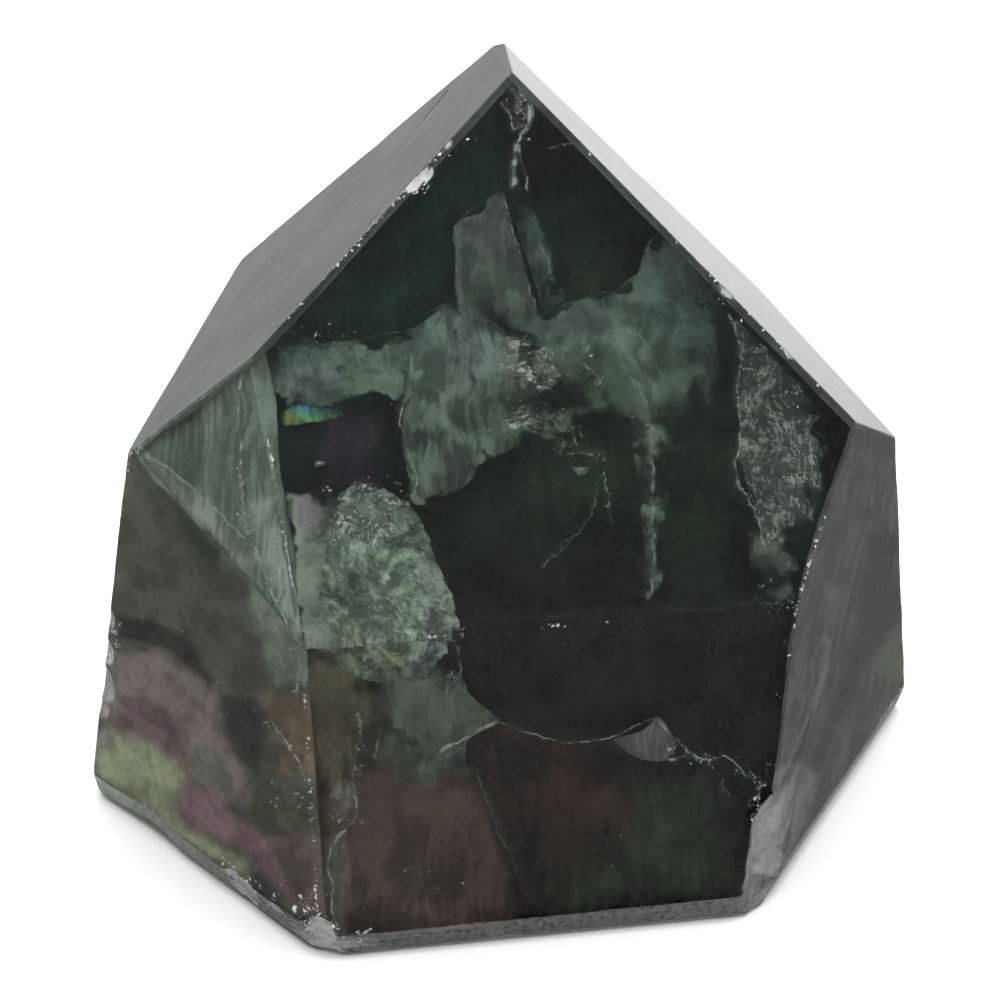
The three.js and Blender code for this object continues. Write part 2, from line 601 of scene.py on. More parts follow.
# the fine grain of a veil: its detail and roughness, the noise over which its tint and its cover
# change, and how much the veil shines
grained = dict(detail=2, rough=0.6, tint=(0.3, 0.7), cover=(0.25, 0.5), shine=0.3)


def veilMaterial(name, grain, strength, rough=0.5):
    # tint and cover come with the sheet, and a fine grain breaks both up
    material, tree, surface = newMaterial(name)
    place = put(tree, "TexCoord").outputs["Object"]
    fine = noiseOf(tree, place, 1 / (grain * mm), grained["detail"], grained["rough"])
    colour = put(tree, "VectorMath", dict(operation="SCALE"))
    feed(tree, colour.inputs[0], markOf(tree, "tint").outputs["Color"])
    feed(tree, colour.inputs["Scale"], between(tree, fine, *grained["tint"], 1 - strength, 1 + strength))
    feed(tree, surface.inputs["Base Color"], colour.outputs[0])
    cover = markOf(tree, "cover").outputs["Fac"]
    broken = between(tree, fine, *grained["cover"], 1 - strength, 1)
    feed(tree, surface.inputs["Alpha"], math(tree, "MULTIPLY", cover, broken))
    surface.inputs["Roughness"].default_value = rough
    surface.inputs["Specular IOR Level"].default_value = grained["shine"]
    return material


finishes = dict(
    cloud=veilMaterial("cloudyFluorite", 0.6, 0.08),
    veil=veilMaterial("healedFracture", 0.2, 0.1, 0.4),
    crushed=veilMaterial("crushedFluorite", 0.12, 0.2, 0.3),
)


def sheetSpots(veil):
    # the spot at share u along and v across is (1 - v) of the first outline and v of the second
    cell = veil["cell"] / pixelSize
    lines = np.array(veil["first"], float), np.array(veil["second"], float)
    columns = int(max(np.linalg.norm(np.diff(line, axis=0), axis=1).sum() for line in lines) / cell) + 2
    first, second = smoothLine(lines[0], columns)[None], smoothLine(lines[1], columns)[None]
    width = np.linalg.norm(second - first, axis=-1)
    rows = int(width.max() / cell) + 2
    v = np.linspace(0, 1, rows)[:, None]
    u = np.linspace(0, 1, columns)[None]
    spots = first * (1 - v[..., None]) + second * v[..., None]
    length = np.linalg.norm(np.diff(spots, axis=1), axis=-1).sum(1)[:, None] * pixelSize
    away = dict(start=u * length, end=(1 - u) * length, first=v * width * pixelSize,
                second=(1 - v) * width * pixelSize)
    return spots[..., 0], spots[..., 1], u + 0 * v, v + 0 * u, away


def insideBy(x, y, corners):
    # how far each point lies inside a polygon, and negative outside it: the distance to the
    # nearest side, signed by how many sides a line from the point crosses
    corners = np.array(corners, float)
    nearest, crossed = np.full(x.shape, 1e9), np.zeros(x.shape, int)
    for (startX, startY), (endX, endY) in zip(corners, np.roll(corners, -1, 0)):
        dx, dy = endX - startX, endY - startY
        share = np.clip(((x - startX) * dx + (y - startY) * dy) / (dx * dx + dy * dy), 0, 1)
        nearest = np.minimum(nearest, np.hypot(x - startX - share * dx, y - startY - share * dy))
        crossed += ((startY > y) != (endY > y)) & (x < startX + (y - startY) * dx / (dy or 1))
    return np.where(crossed % 2, nearest, -nearest)


def patched(coat, x, y, patches, seed):
    # inside each patch, an ellipse or a polygon with a wavering rim, the coat moves to its own
    ripple = np.stack([x, y, 0 * x], -1) * pixelSize
    waver = noise(ripple, 1.6, seed + 31)
    for patch in patches:
        if "around" in patch:
            inside = insideBy(x, y, patch["around"]) * pixelSize + patch["soft"] * 0.6 * waver
            share = ramp(-patch["soft"], patch["soft"], inside)
        else:
            cosine, sine = np.cos(np.radians(patch["turn"])), np.sin(np.radians(patch["turn"]))
            dx, dy = x - patch["at"][0], y - patch["at"][1]
            along, aside = dx * cosine + dy * sine, dy * cosine - dx * sine
            far = np.hypot(along / patch["size"][0], aside / patch["size"][1])
            share = ramp(1.2, patch["core"], far * (1 + 0.4 * waver))
        value = np.array(patch["value"])
        coat[..., : len(value)] += share[..., None] * (value - coat[..., : len(value)])
    return coat


def patch(x, y, across, down, value, turn=0, core=0.6):
    # an ellipse, plain as far as its core and gone at 1.2 times its size
    return dict(at=(x, y), size=(across, down), value=value, turn=turn, core=core)


def area(around, value, soft=0.5):
    # a polygon in pixels, whose rim blends over soft mm on both sides
    return dict(around=around, value=value, soft=soft)


# what a veil has unless it says otherwise, with its cell and waves in mm
plainVeil = dict(cell=0.12, wave=0.3, waveSize=3.0, dome=0, cover=1, through=None, fade={}, patches=())

# what all veils share: how shallow they may lie, the tint of glints, and how their rims tear
veiled = dict(shallowest=0.05, glint=(0.9, 0.92, 0.9), tear=0.25, tearCell=1.2, tearOctaves=4, waverFade=3)

# the film's waver and wavelengths in nm, the waver's cell in mm, and the light it always gives
filmed = dict(waver=25, cell=1.5, waves=(610, 540, 460), least=0.12)


def makeVeil(name, veil):
    x, y, u, v, away = sheetSpots(veil)
    look, seed = veil["look"], veil["seed"]
    flat = np.stack([x, -y], -1) * pixelSize
    light = texture(flat, look, seed)
    ripple = np.concatenate([flat, np.zeros(flat.shape[:-1] + (1,))], -1)
    # a domed sheet comes nearer the skin in the middle
    top, bottom = veil["depth"]
    depth = top + (bottom - top) * v + veil["wave"] * noise(ripple, veil["waveSize"], seed)
    depth = depth - look["relief"] * light - veil["dome"] * np.sin(np.pi * u) * np.sin(np.pi * v)
    points = inward(x, y, np.maximum(depth, veiled["shallowest"]), veil["through"])
    # red, green, blue and cover, and patches change all four
    coat = np.zeros(x.shape + (4,)) + (*veil["tint"], veil["cover"])
    coat = patched(coat, x, y, veil["patches"], seed)
    tint = coat[..., :3] * (look["shade"] + (1 - look["shade"]) * light)[..., None]
    glint = ramp(*look["glint"], light)[..., None]
    tint = tint + glint * (np.array(veiled["glint"]) - tint)
    if "film" in veil:
        # of each wavelength a film keeps sin^2(2 pi thickness / wavelength), all in nm
        start, along, down = veil["film"]
        waver = filmed["waver"] * noise(ripple, filmed["cell"], seed + 9)
        thickness = start + along * u + down * v + waver
        kept = np.sin(2 * np.pi * thickness[..., None] / np.array(filmed["waves"])) ** 2
        tint = veil["tint"] * kept + filmed["least"]
    thin, thick = look["cover"]
    cover = coat[..., 3] * (thin + (thick - thin) * light)
    for side, far in away.items():
        # the sheet fades out over this many mm on each side, and a side with None runs on
        fade = veil["fade"].get(side, look["soft"])
        if fade:
            tear = look["ragged"] * min(1, fade * veiled["waverFade"]) + veiled["tear"] * fade
            torn = far + tear * noise(ripple, veiled["tearCell"], seed + 7, veiled["tearOctaves"])
            cover = cover * ramp(0, fade, torn)
    marks = dict(tint=tint.reshape(-1, 3), cover=cover.ravel())
    return makePiece(name, points.reshape(-1, 3), gridCells(*x.shape), finishes[look["finish"]], marks)


def look(finish, **changes):
    # shares and sizes in mm of the four patterns, then how light, clear and ragged the sheet is
    plain = dict(finish=finish, warp=0.3, cloud=(1, 2.5), streak=(0.4, 0.25, 6, 0), shard=(0, 1), wisp=(0, 1),
                 range=(0.25, 0.75), shade=0.6, glint=(1.5, 2), cover=(0.85, 1), ragged=0.5, soft=0.8,
                 relief=0)
    return dict(plain, **changes)


cloudy = look("cloud", cloud=(1, 4), shade=0.65, streak=(0.45, 0.3, 9, 0))
hazy = look("veil", warp=0.8, cloud=(1, 2.2), streak=(0.3, 0.35, 6, 0), wisp=(0.06, 1.1), range=(0.22, 0.8),
            shade=0.55,
            cover=(0.6, 0.96), soft=1.4, ragged=0.9, glint=(0.98, 1.6))
pleated = look("veil", warp=0.4, cloud=(1, 1.8), streak=(0.7, 0.34, 7, 0), wisp=(0.1, 0.8),
               range=(0.25, 0.78),
               shade=0.42, cover=(0.55, 0.97), soft=1.2, ragged=0.7, glint=(0.95, 1.5))
crumbly = look("crushed", warp=0.5, cloud=(0.7, 0.9), streak=(0.4, 0.1, 2.5, 10), shard=(0.8, 0.2),
               wisp=(0.2, 0.4), range=(0.3, 0.85), shade=0.25, glint=(0.82, 1.05), cover=(0.3, 1), soft=0.6,
               ragged=0.7, relief=0.2)
mottled = look("crushed", warp=0.5, cloud=(1, 0.8), streak=(0.15, 0.14, 2, 12), shard=(0.5, 0.24),
               wisp=(0.08, 0.3),
               range=(0.25, 0.8), shade=0.35, glint=(0.9, 1.3), cover=(0.75, 1), soft=0.5, ragged=0.35,
               relief=0.15)
smoky = dict(hazy, warp=0.3, cloud=(1, 2.4), streak=(0.6, 0.18, 8, 0), shade=0.65, cover=(0.75, 1),
             glint=(1.5, 2), wisp=(0, 1))
runsOn = dict(start=None, end=None, first=None, second=None)

veils = dict(
    cloud_tip=dict(
        first=[(508, 66), (245, 362), (300, 644)],
        second=[(513, 70), (852, 424), (792, 608)],
        fade=runsOn, through=(500, 300), cell=0.25,
        depth=(6.5, 7.5), wave=1.0, waveSize=8, seed=11, tint=(0.07, 0.145, 0.125), look=cloudy,
        patches=[
            area([(400, 430), (480, 470), (730, 440), (760, 620), (440, 640)], (0.10, 0.115, 0.085), 2.5),
            area([(450, 545), (760, 520), (770, 606), (450, 630)], (0.1, 0.095, 0.085), 1.5),
            area([(283, 405), (400, 400), (412, 500), (300, 520)], (0.07, 0.085, 0.085), 1),
            area([(318, 418), (376, 412), (370, 482), (322, 488)], (0.24, 0.14, 0.24), 1),
            area([(560, 250), (730, 290), (735, 600), (540, 470)], (0.15, 0.2, 0.145), 2.5),
            area([(500, 90), (560, 120), (560, 190), (470, 190)], (0.14, 0.15, 0.19), 1.5),
            area([(480, 100), (505, 190), (455, 220), (450, 300), (290, 320), (260, 355)], (0.17, 0.37, 0.29),
                 2)]),
    cloud_front=dict(
        first=[(303, 650), (325, 938)],
        second=[(794, 609), (759, 900)],
        fade=runsOn, through=(500, 800), cell=0.18,
        depth=(2.4, 2.4), wave=0.4, waveSize=5, seed=12, tint=(0.017, 0.018, 0.0155),
        look=dict(cloudy, shade=0.6, cloud=(1, 3)),
        patches=[
            area([(250, 655), (352, 655), (372, 700), (360, 745), (345, 830), (270, 830)], (0.37, 0.3, 0.2),
                 1.4),
            area([(345, 765), (405, 775), (470, 765), (483, 798), (498, 834), (510, 858), (512, 915),
                  (345, 960), (270, 960), (270, 800)], (0.23, 0.135, 0.12), 0.9),
            area([(270, 830), (430, 850), (460, 900), (440, 960), (270, 960)], (0.27, 0.165, 0.145), 1.5),
            area([(474, 748), (500, 724), (555, 740), (613, 740), (650, 765), (650, 840), (560, 900),
                  (512, 905), (510, 858), (483, 798)], (0.075, 0.042, 0.04), 0.9),
            area([(322, 842), (340, 832), (350, 870), (346, 940), (322, 940)], (0.5, 0.42, 0.34), 0.4),
            area([(640, 790), (700, 780), (740, 840), (740, 892), (600, 905), (540, 900), (620, 850)],
                 (0.085, 0.09, 0.066), 1.8),
            patch(578, 800, 52, 34, (0.12, 0.055, 0.052), 0, 0.2),
            patch(665, 812, 22, 40, (0.105, 0.11, 0.085), 0, 0.2),
            patch(390, 745, 26, 30, (0.23, 0.19, 0.165), 0, 0.2)]),
    cloud_left=dict(
        first=[(124, 440), (200, 526), (262, 598), (303, 648)],
        second=[(84, 774), (160, 825), (225, 872), (324, 941)],
        fade=runsOn, through=(200, 700), cell=0.13,
        depth=(0.5, 0.6), wave=0.08, seed=17, tint=(0.138, 0.135, 0.115),
        look=dict(cloudy, cloud=(1, 1.8), shade=0.7, warp=0.6, streak=(0.5, 0.4, 2.5, 30)),
        patches=[
            area([(130, 445), (182, 506), (172, 497), (155, 482), (142, 465)], (0.3, 0.35, 0.3), 0.1),
            area([(160, 488), (185, 508), (221, 552), (214, 570), (190, 540)], (0.07, 0.082, 0.066), 0.4),
            area([(178, 606), (196, 600), (214, 608), (222, 628), (221, 652), (206, 668), (185, 650),
                  (175, 630)], (0.13, 0.125, 0.105), 0.25),
            area([(120, 618), (160, 622), (182, 634), (200, 655), (213, 682), (206, 688), (190, 672),
                  (168, 650), (118, 638)], (0.055, 0.043, 0.042), 0.3),
            area([(120, 655), (160, 650), (190, 668), (214, 700), (226, 735), (250, 790), (258, 815),
                  (222, 800), (185, 768), (105, 735)], (0.36, 0.28, 0.275), 0.6),
            area([(122, 700), (150, 700), (180, 722), (190, 760), (182, 778), (160, 752), (125, 725)],
                 (0.26, 0.165, 0.18), 0.5),
            area([(189, 752), (205, 746), (224, 760), (233, 790), (215, 795), (196, 778)],
                 (0.27, 0.25, 0.225), 0.25),
            area([(224, 695), (250, 698), (266, 715), (262, 745), (256, 775), (240, 762), (228, 735)],
                 (0.075, 0.067, 0.06), 0.35),
            area([(95, 745), (113, 738), (157, 752), (182, 775), (188, 800), (178, 817), (191, 829),
                  (234, 851), (248, 860), (250, 900), (160, 850), (90, 792)], (0.54, 0.57, 0.37), 0.8),
            patch(104, 742, 15, 20, (0.42, 0.42, 0.36), 0, 0.4),
            area([(183, 781), (198, 784), (221, 802), (243, 819), (266, 835), (286, 874), (301, 908),
                  (290, 905), (270, 880), (252, 862), (234, 850), (191, 829), (178, 817)], (0.37, 0.22,
                                                                                            0.25), 0.6),
            area([(266, 835), (300, 830), (360, 850), (360, 930), (306, 912), (286, 874)], (0.2, 0.14, 0.125),
                 0.4),
            area([(257, 790), (350, 800), (350, 828), (266, 835), (243, 815)], (0.14, 0.135, 0.09), 0.4),
            area([(268, 690), (350, 690), (350, 785), (288, 772), (272, 740)], (0.27, 0.19, 0.13), 0.8),
            area([(250, 588), (301, 646), (345, 640), (345, 672), (272, 690), (266, 655), (257, 630)],
                 (0.27, 0.3, 0.245), 0.6)]),
    cloud_right=dict(
        first=[(855, 428), (800, 604), (780, 760), (762, 892)],
        second=[(905, 436), (911, 560), (915, 690), (856, 778)],
        fade=runsOn, through=(850, 600), cell=0.13,
        depth=(0.5, 0.6), wave=0.08, seed=18, tint=(0.1, 0.096, 0.085),
        look=dict(cloudy, cloud=(0.7, 1.6), streak=(0.9, 0.3, 9, -13), shade=0.5),
        patches=[
            area([(852, 436), (866, 444), (858, 520), (838, 604), (824, 600), (842, 520)],
                 (0.13, 0.128, 0.115), 0.6),
            area([(825, 636), (830, 640), (829, 668), (815, 714), (810, 706), (824, 668)],
                 (0.2, 0.195, 0.175), 0.2),
            area([(866, 530), (905, 530), (905, 612), (868, 668), (822, 772), (805, 774), (838, 690),
                  (858, 630)], (0.03, 0.016, 0.022), 0.6),
            area([(905, 620), (905, 694), (850, 775), (815, 812), (808, 800), (828, 765), (868, 674)],
                 (0.095, 0.105, 0.08), 0.5),
            area([(772, 768), (800, 762), (814, 778), (802, 830), (776, 884), (755, 900), (760, 840)],
                 (0.24, 0.215, 0.23), 0.5)]),
    cloud_shoulder=dict(
        first=[(135, 449), (184, 508), (248, 583), (300, 645)],
        second=[(139, 447), (190, 404), (240, 366), (252, 360), (256, 375), (264, 420), (276, 490),
                (288, 565), (300, 643)],
        fade=runsOn, through=(215, 450), cell=0.1,
        depth=(0.7, 0.9), wave=0.15, seed=16, tint=(0.23, 0.29, 0.235),
        look=dict(smoky, streak=(0.9, 0.22, 9, -3)),
        patches=[
            area([(174, 498), (183, 501), (202, 516), (221, 540), (234, 559), (249, 575), (253, 592),
                  (226, 560)], (0.1, 0.115, 0.095), 0.1),
            area([(205, 400), (218, 398), (222, 470), (212, 505), (226, 530), (262, 590), (240, 572),
                  (200, 520), (160, 470), (196, 480)], (0.34, 0.4, 0.335), 0.4),
            area([(150, 448), (185, 415), (204, 402), (204, 470), (190, 490), (165, 465)],
                 (0.17, 0.215, 0.17), 0.4),
            area([(262, 400), (277, 396), (286, 490), (290, 535), (280, 540), (272, 470)],
                 (0.33, 0.385, 0.33), 0.3),
            area([(252, 505), (268, 500), (290, 560), (299, 630), (280, 606), (262, 560)], (0.42, 0.48, 0.42),
                 0.5)]),
    # a light sheet just under the ground bevels along the bottom, darker at its right end: a painted
    # reflection of the pale floor, which the faces do not mirror
    bevel_floor_reflection=dict(
        first=[(92, 774), (160, 824), (225, 871), (324, 939)],
        second=[(92, 790), (160, 842), (225, 889), (324, 957)],
        fade=runsOn, through=(200, 860), cell=0.13,
        depth=(0.3, 0.3), wave=0.03, seed=43, tint=(0.55, 0.58, 0.5), look=dict(cloudy, shade=0.55),
        patches=[area([(250, 850), (330, 850), (330, 960), (250, 960)], (0.3, 0.27, 0.25), 2)]),
    veil_column=dict(
        first=[(252, 362), (258, 400), (270, 460), (284, 540), (299, 630)],
        second=[(266, 352), (276, 400), (280, 466), (289, 520), (296, 560)],
        fade=dict(start=None, first=None, end=0.8), through=(400, 400), depth=(0.8, 1.4), wave=0.1, seed=15,
        tint=(0.28, 0.34, 0.28),
        cell=0.1, look=dict(smoky, soft=0.12, ragged=0.06, streak=(0.45, 0.2, 9, -3))),
    veil_window=dict(
        first=[(284, 492), (288, 540), (294, 600), (299, 640), (303, 654)],
        second=[(338, 486), (340, 540), (342, 600), (348, 640), (352, 655)],
        fade=dict(first=0.4, second=2.2, start=0.5, end=0.6), depth=(1.2, 2.4), wave=0.2, seed=36,
        tint=(0.42, 0.46, 0.385), look=dict(hazy, shade=0.7, cover=(0.85, 1), ragged=0.35), cell=0.1,
        patches=[area([(286, 485), (338, 480), (336, 522), (300, 526)], (0.4, 0.35, 0.37), 0.4),
                 area([(282, 498), (293, 498), (294, 536), (284, 540)], (0.1, 0.12, 0.1), 0.2)]),
    veil_left=dict(
        first=[(254, 362), (285, 340), (330, 342), (380, 335), (417, 326), (447, 302)],
        second=[(272, 405), (310, 407), (350, 406), (385, 402), (410, 398), (445, 400)],
        fade=dict(start=None, end=None, first=1.4, second=0.6), depth=(2.6, 3.2), wave=0.3, seed=13,
        tint=(0.4, 0.49, 0.43), cell=0.1,
        look=dict(hazy, soft=0.9, cloud=(1, 1.7)),
        patches=[
            area([(250, 330), (320, 335), (330, 362), (262, 372)], (0.24, 0.33, 0.32, 0.85), 0.6),
            area([(262, 372), (335, 365), (345, 400), (268, 402)], (0.42, 0.46, 0.45), 0.5),
            area([(345, 360), (395, 345), (395, 400), (350, 404)], (0.4, 0.5, 0.39), 0.6)]),
    veil_curtain=dict(
        first=[(408, 350), (430, 316), (440, 306), (462, 303), (481, 315), (502, 330), (520, 345), (560, 340),
               (590, 350)],
        second=[(402, 440), (407, 475), (414, 504), (440, 503), (461, 489), (480, 471), (506, 452),
                (550, 436), (592, 424)],
        depth=(3.0, 3.6), wave=0.35, seed=14, tint=(0.45, 0.535, 0.45), look=pleated, cell=0.09,
        fade=dict(start=0.2, first=0.9, second=0.7, end=5),
        patches=[
            area([(428, 310), (462, 300), (500, 330), (505, 365), (470, 380), (425, 360)], (0.56, 0.62, 0.64),
                 0.8),
            area([(414, 420), (440, 420), (440, 498), (414, 500)], (0.38, 0.45, 0.4), 0.5),
            area([(432, 368), (460, 366), (470, 420), (436, 425)], (0.56, 0.62, 0.54), 0.6),
            area([(440, 480), (500, 440), (512, 446), (462, 492), (414, 506)], (0.47, 0.53, 0.47), 0.3),
            area([(470, 420), (520, 400), (560, 436), (500, 450)], (0.24, 0.3, 0.22), 1.2),
            area([(500, 340), (560, 345), (590, 400), (545, 436), (500, 400)], (0.3, 0.36, 0.28), 1.2)]),
    veil_crest=dict(
        first=[(517, 330), (541, 312), (563, 305), (593, 297), (621, 288), (637, 275), (645, 250), (668, 228),
               (722, 284)],
        second=[(560, 415), (600, 420), (640, 450), (680, 450), (700, 425), (716, 380), (727, 340),
                (730, 316), (731, 300)],
        depth=(3.0, 3.8), wave=0.4, seed=23, tint=(0.25, 0.325, 0.275),
        look=dict(hazy, soft=1.4, shade=0.6, cover=(0.65, 1)),
        fade=dict(end=None, start=2.5, first=0.4, second=4), patches=[
            area([(520, 335), (590, 300), (625, 292), (618, 330), (560, 350)], (0.34, 0.41, 0.37), 0.9),
            area([(613, 318), (640, 330), (655, 368), (640, 372), (618, 345)], (0.45, 0.52, 0.43), 0.3),
            area([(640, 250), (670, 232), (728, 296), (730, 345), (660, 330)], (0.3, 0.4, 0.38), 1.0),
            area([(585, 355), (603, 342), (618, 352), (640, 405), (600, 425), (582, 390)], (0.22, 0.29, 0.2),
                 0.6)]),
    veil_fall=dict(
        first=[(622, 350), (630, 430), (638, 480), (643, 540), (646, 604)],
        second=[(668, 350), (672, 430), (672, 480), (668, 540), (660, 604)],
        depth=(2.0, 2.4), wave=0.2, seed=37, tint=(0.23, 0.29, 0.23), cell=0.1,
        look=dict(pleated, soft=1.4, ragged=0.9, cover=(0, 0.85)),
        patches=[patch(650, 410, 12, 46, (0.34, 0.4, 0.33), 0, 0.3)]),
    crush_middle=dict(
        first=[(478, 350), (505, 336), (540, 344), (572, 352)],
        second=[(484, 384), (510, 398), (545, 392), (566, 384)],
        depth=(0.7, 0.9), wave=0.2, seed=24, tint=(0.58, 0.62, 0.56), cell=0.07,
        look=dict(crumbly, cover=(-0.2, 0.95), soft=1.6, streak=(0.9, 0.14, 4, 75), shade=0.45,
                  glint=(0.85, 1.5))),
    crush_lower=dict(
        first=[(488, 406), (530, 400), (568, 408)],
        second=[(492, 442), (530, 444), (566, 440)],
        depth=(0.9, 1.1), wave=0.2, seed=26, tint=(0.58, 0.63, 0.54), cell=0.07,
        look=dict(crumbly, cover=(-0.2, 0.95), soft=1.6, streak=(1.1, 0.13, 6, 84), shade=0.45,
                  glint=(0.85, 1.5))),
    crush_right=dict(
        first=[(545, 440), (575, 425), (600, 430)],
        second=[(560, 470), (585, 476), (612, 466)],
        depth=(1.2, 1.4), wave=0.2, seed=38, tint=(0.42, 0.48, 0.39), cell=0.07,
        look=dict(crumbly, cover=(-0.3, 0.85), soft=1.4, shade=0.4, glint=(0.9, 1.5))),
    veil_apex=dict(
        first=[(500, 104), (508, 88), (520, 80), (536, 98)],
        second=[(503, 124), (514, 138), (524, 136), (534, 118)],
        depth=(0.5, 0.8), wave=0.15, waveSize=1, seed=39, tint=(0.3, 0.3, 0.31), cell=0.07,
        look=dict(crumbly, cover=(0.15, 1), soft=0.5, ragged=0.4)),
    veil_blade=dict(
        first=[(504, 191), (488, 198), (484, 210), (458, 221), (455, 250), (456, 300), (470, 345)],
        second=[(505, 192), (508, 212), (517, 246), (523, 264), (529, 281), (538, 313), (548, 345)],
        depth=(1.8, 2.2), wave=0.1, seed=27, tint=(0.15, 0.19, 0.165), cell=0.09,
        look=dict(hazy, soft=0.12, ragged=0.2, shade=0.6, cloud=(1, 1.3), streak=(0.5, 0.25, 8, -8),
                  cover=(0.7, 1)),
        fade=dict(first=0.1, second=0.12, start=0.1, end=3.6),
        patches=[
            area([(488, 198), (505, 196), (515, 240), (505, 262), (470, 240), (462, 222)],
                 (0.235, 0.235, 0.26), 0.7),
            area([(455, 226), (461, 224), (463, 304), (456, 303)], (0.26, 0.31, 0.26), 0.15),
            area([(470, 262), (500, 258), (530, 296), (536, 312), (512, 322), (496, 300)],
                 (0.2, 0.255, 0.205), 0.6),
            area([(462, 292), (474, 288), (520, 334), (500, 336)], (0.08, 0.12, 0.09), 0.4)]),
    veil_panel=dict(
        first=[(512, 196), (520, 240), (534, 280), (541, 312)],
        second=[(536, 205), (548, 240), (556, 270), (566, 300)],
        depth=(4.0, 4.5), wave=0.3, seed=40, tint=(0.13, 0.2, 0.19),
        look=dict(smoky, soft=0.8, cover=(0.3, 0.8)),
        patches=[patch(541, 254, 12, 9, (0.36, 0.42, 0.38), 0, 0.3),
                 patch(602, 250, 18, 6, (0.3, 0.36, 0.34), 0, 0.3)]),
    boulder=dict(
        first=[(336, 492), (318, 515), (306, 560), (308, 612), (330, 665), (384, 690)],
        second=[(384, 488), (411, 507), (440, 562), (460, 628), (452, 682), (392, 692)],
        depth=(3.0, 3.2), wave=0.25, waveSize=2, dome=1.5, seed=29, tint=(0.54, 0.65, 0.51), look=mottled,
        cell=0.09,
        fade=dict(start=0.2, first=1.6, second=0.15, end=2.2),
        patches=[
            area([(306, 600), (340, 560), (360, 620), (370, 690), (330, 665)], (0.54, 0.58, 0.42), 1.0),
            area([(405, 520), (440, 560), (462, 630), (455, 690), (430, 640), (415, 570)], (0.56, 0.6, 0.54),
                 0.8),
            area([(335, 560), (370, 555), (380, 600), (350, 630), (330, 600)], (0.34, 0.41, 0.33), 1.0),
            area([(372, 655), (402, 650), (400, 686), (372, 680)], (0.6, 0.65, 0.42), 0.6),
            patch(430, 660, 33, 14, (0.62, 0.66, 0.62), -42, 0.9)]),
    boulder_crust=dict(
        first=[(330, 500), (344, 486), (375, 484), (384, 494), (411, 502)],
        second=[(322, 550), (345, 556), (375, 560), (395, 548), (414, 530)],
        depth=(1.4, 1.8), wave=0.25, waveSize=1.5, seed=41, tint=(0.85, 0.88, 0.83), cell=0.07,
        fade=dict(first=0.15, start=0.8, second=1.6, end=0.4),
        look=dict(crumbly, soft=0.5, ragged=0.5, cover=(0.1, 1)),
        patches=[area([(379, 490), (411, 500), (411, 520), (384, 506)], (0.85, 0.87, 0.82, 1), 0.2)]),
    film=dict(
        first=[(279, 408), (300, 404), (328, 405), (354, 408)],
        second=[(282, 429), (300, 424), (322, 421), (354, 412)],
        depth=(0.6, 0.7), wave=0.03, seed=42, tint=np.array([0.4, 0.4, 0.5]), film=(640, -60, 70), cell=0.08,
        look=dict(hazy, soft=0.4, ragged=0.45, shade=0.6, cover=(0.1, 0.9))),
    veil_right=dict(
        first=[(728, 313), (739, 345), (740, 405), (740, 465), (757, 513), (764, 545)],
        second=[(765, 345), (806, 385), (828, 430), (824, 480), (808, 540)],
        depth=(1.2, 1.8), wave=0.2, waveSize=1.2, seed=20, tint=(0.36, 0.39, 0.35), cell=0.08,
        look=dict(crumbly, streak=(0.8, 0.14, 5, 3), shard=(0.6, 0.2), cover=(0.3, 1), glint=(0.88, 1.3),
                  shade=0.4),
        fade=dict(start=0.5, first=0.12, second=1.2, end=1.5),
        patches=[
            area([(776, 425), (812, 418), (816, 500), (790, 520), (776, 500)], (0.55, 0.6, 0.55), 0.8),
            area([(742, 470), (764, 470), (770, 505), (752, 505)], (0.2, 0.25, 0.22), 0.4)]),
    veil_corner=dict(
        first=[(746, 530), (750, 565), (744, 602)],
        second=[(806, 535), (800, 570), (794, 604)],
        depth=(1.2, 1.4), wave=0.2, seed=34, tint=(0.27, 0.32, 0.27),
        look=dict(hazy, soft=2, ragged=0.5, cover=(0.35, 0.9))),
    veil_low=dict(
        first=[(365, 660), (372, 720), (385, 765), (400, 792)],
        second=[(455, 660), (474, 697), (497, 720), (470, 740), (470, 785)],
        depth=(1.4, 1.8), wave=0.3, seed=21, tint=(0.24, 0.255, 0.22), look=dict(hazy, ragged=0.35),
        fade=dict(start=1.5, first=2.4, end=2.0, second=0.12),
        patches=[area([(455, 690), (474, 697), (497, 720), (470, 738), (458, 715)], (0.2, 0.225, 0.18),
                      0.2)]),
    veil_wedge=dict(
        first=[(613, 739), (648, 726), (656, 716), (672, 735), (675, 746)],
        second=[(614, 741), (620, 747), (636, 758), (663, 761), (676, 750)],
        depth=(0.7, 0.9), wave=0.05, seed=25, tint=(0.23, 0.205, 0.2),
        look=dict(smoky, soft=0.06, ragged=0.05)),
    veil_warm=dict(
        first=[(303, 660), (306, 720), (316, 780), (332, 840)],
        second=[(352, 660), (357, 720), (356, 780), (342, 840)],
        depth=(1.0, 1.4), wave=0.2, seed=35, tint=(0.24, 0.2, 0.13),
        look=dict(smoky, soft=1.2, ragged=0.5, cover=(0.5, 0.9)),
        patches=[area([(328, 785), (363, 780), (366, 815), (335, 822)], (0.36, 0.31, 0.31, 1), 0.4),
                 area([(303, 705), (340, 700), (345, 745), (310, 750)], (0.27, 0.19, 0.13), 0.8)]),
)

for name, veil in veils.items():
    makeVeil(name, dict(plainVeil, **veil))
print("veils made:", len(veils))


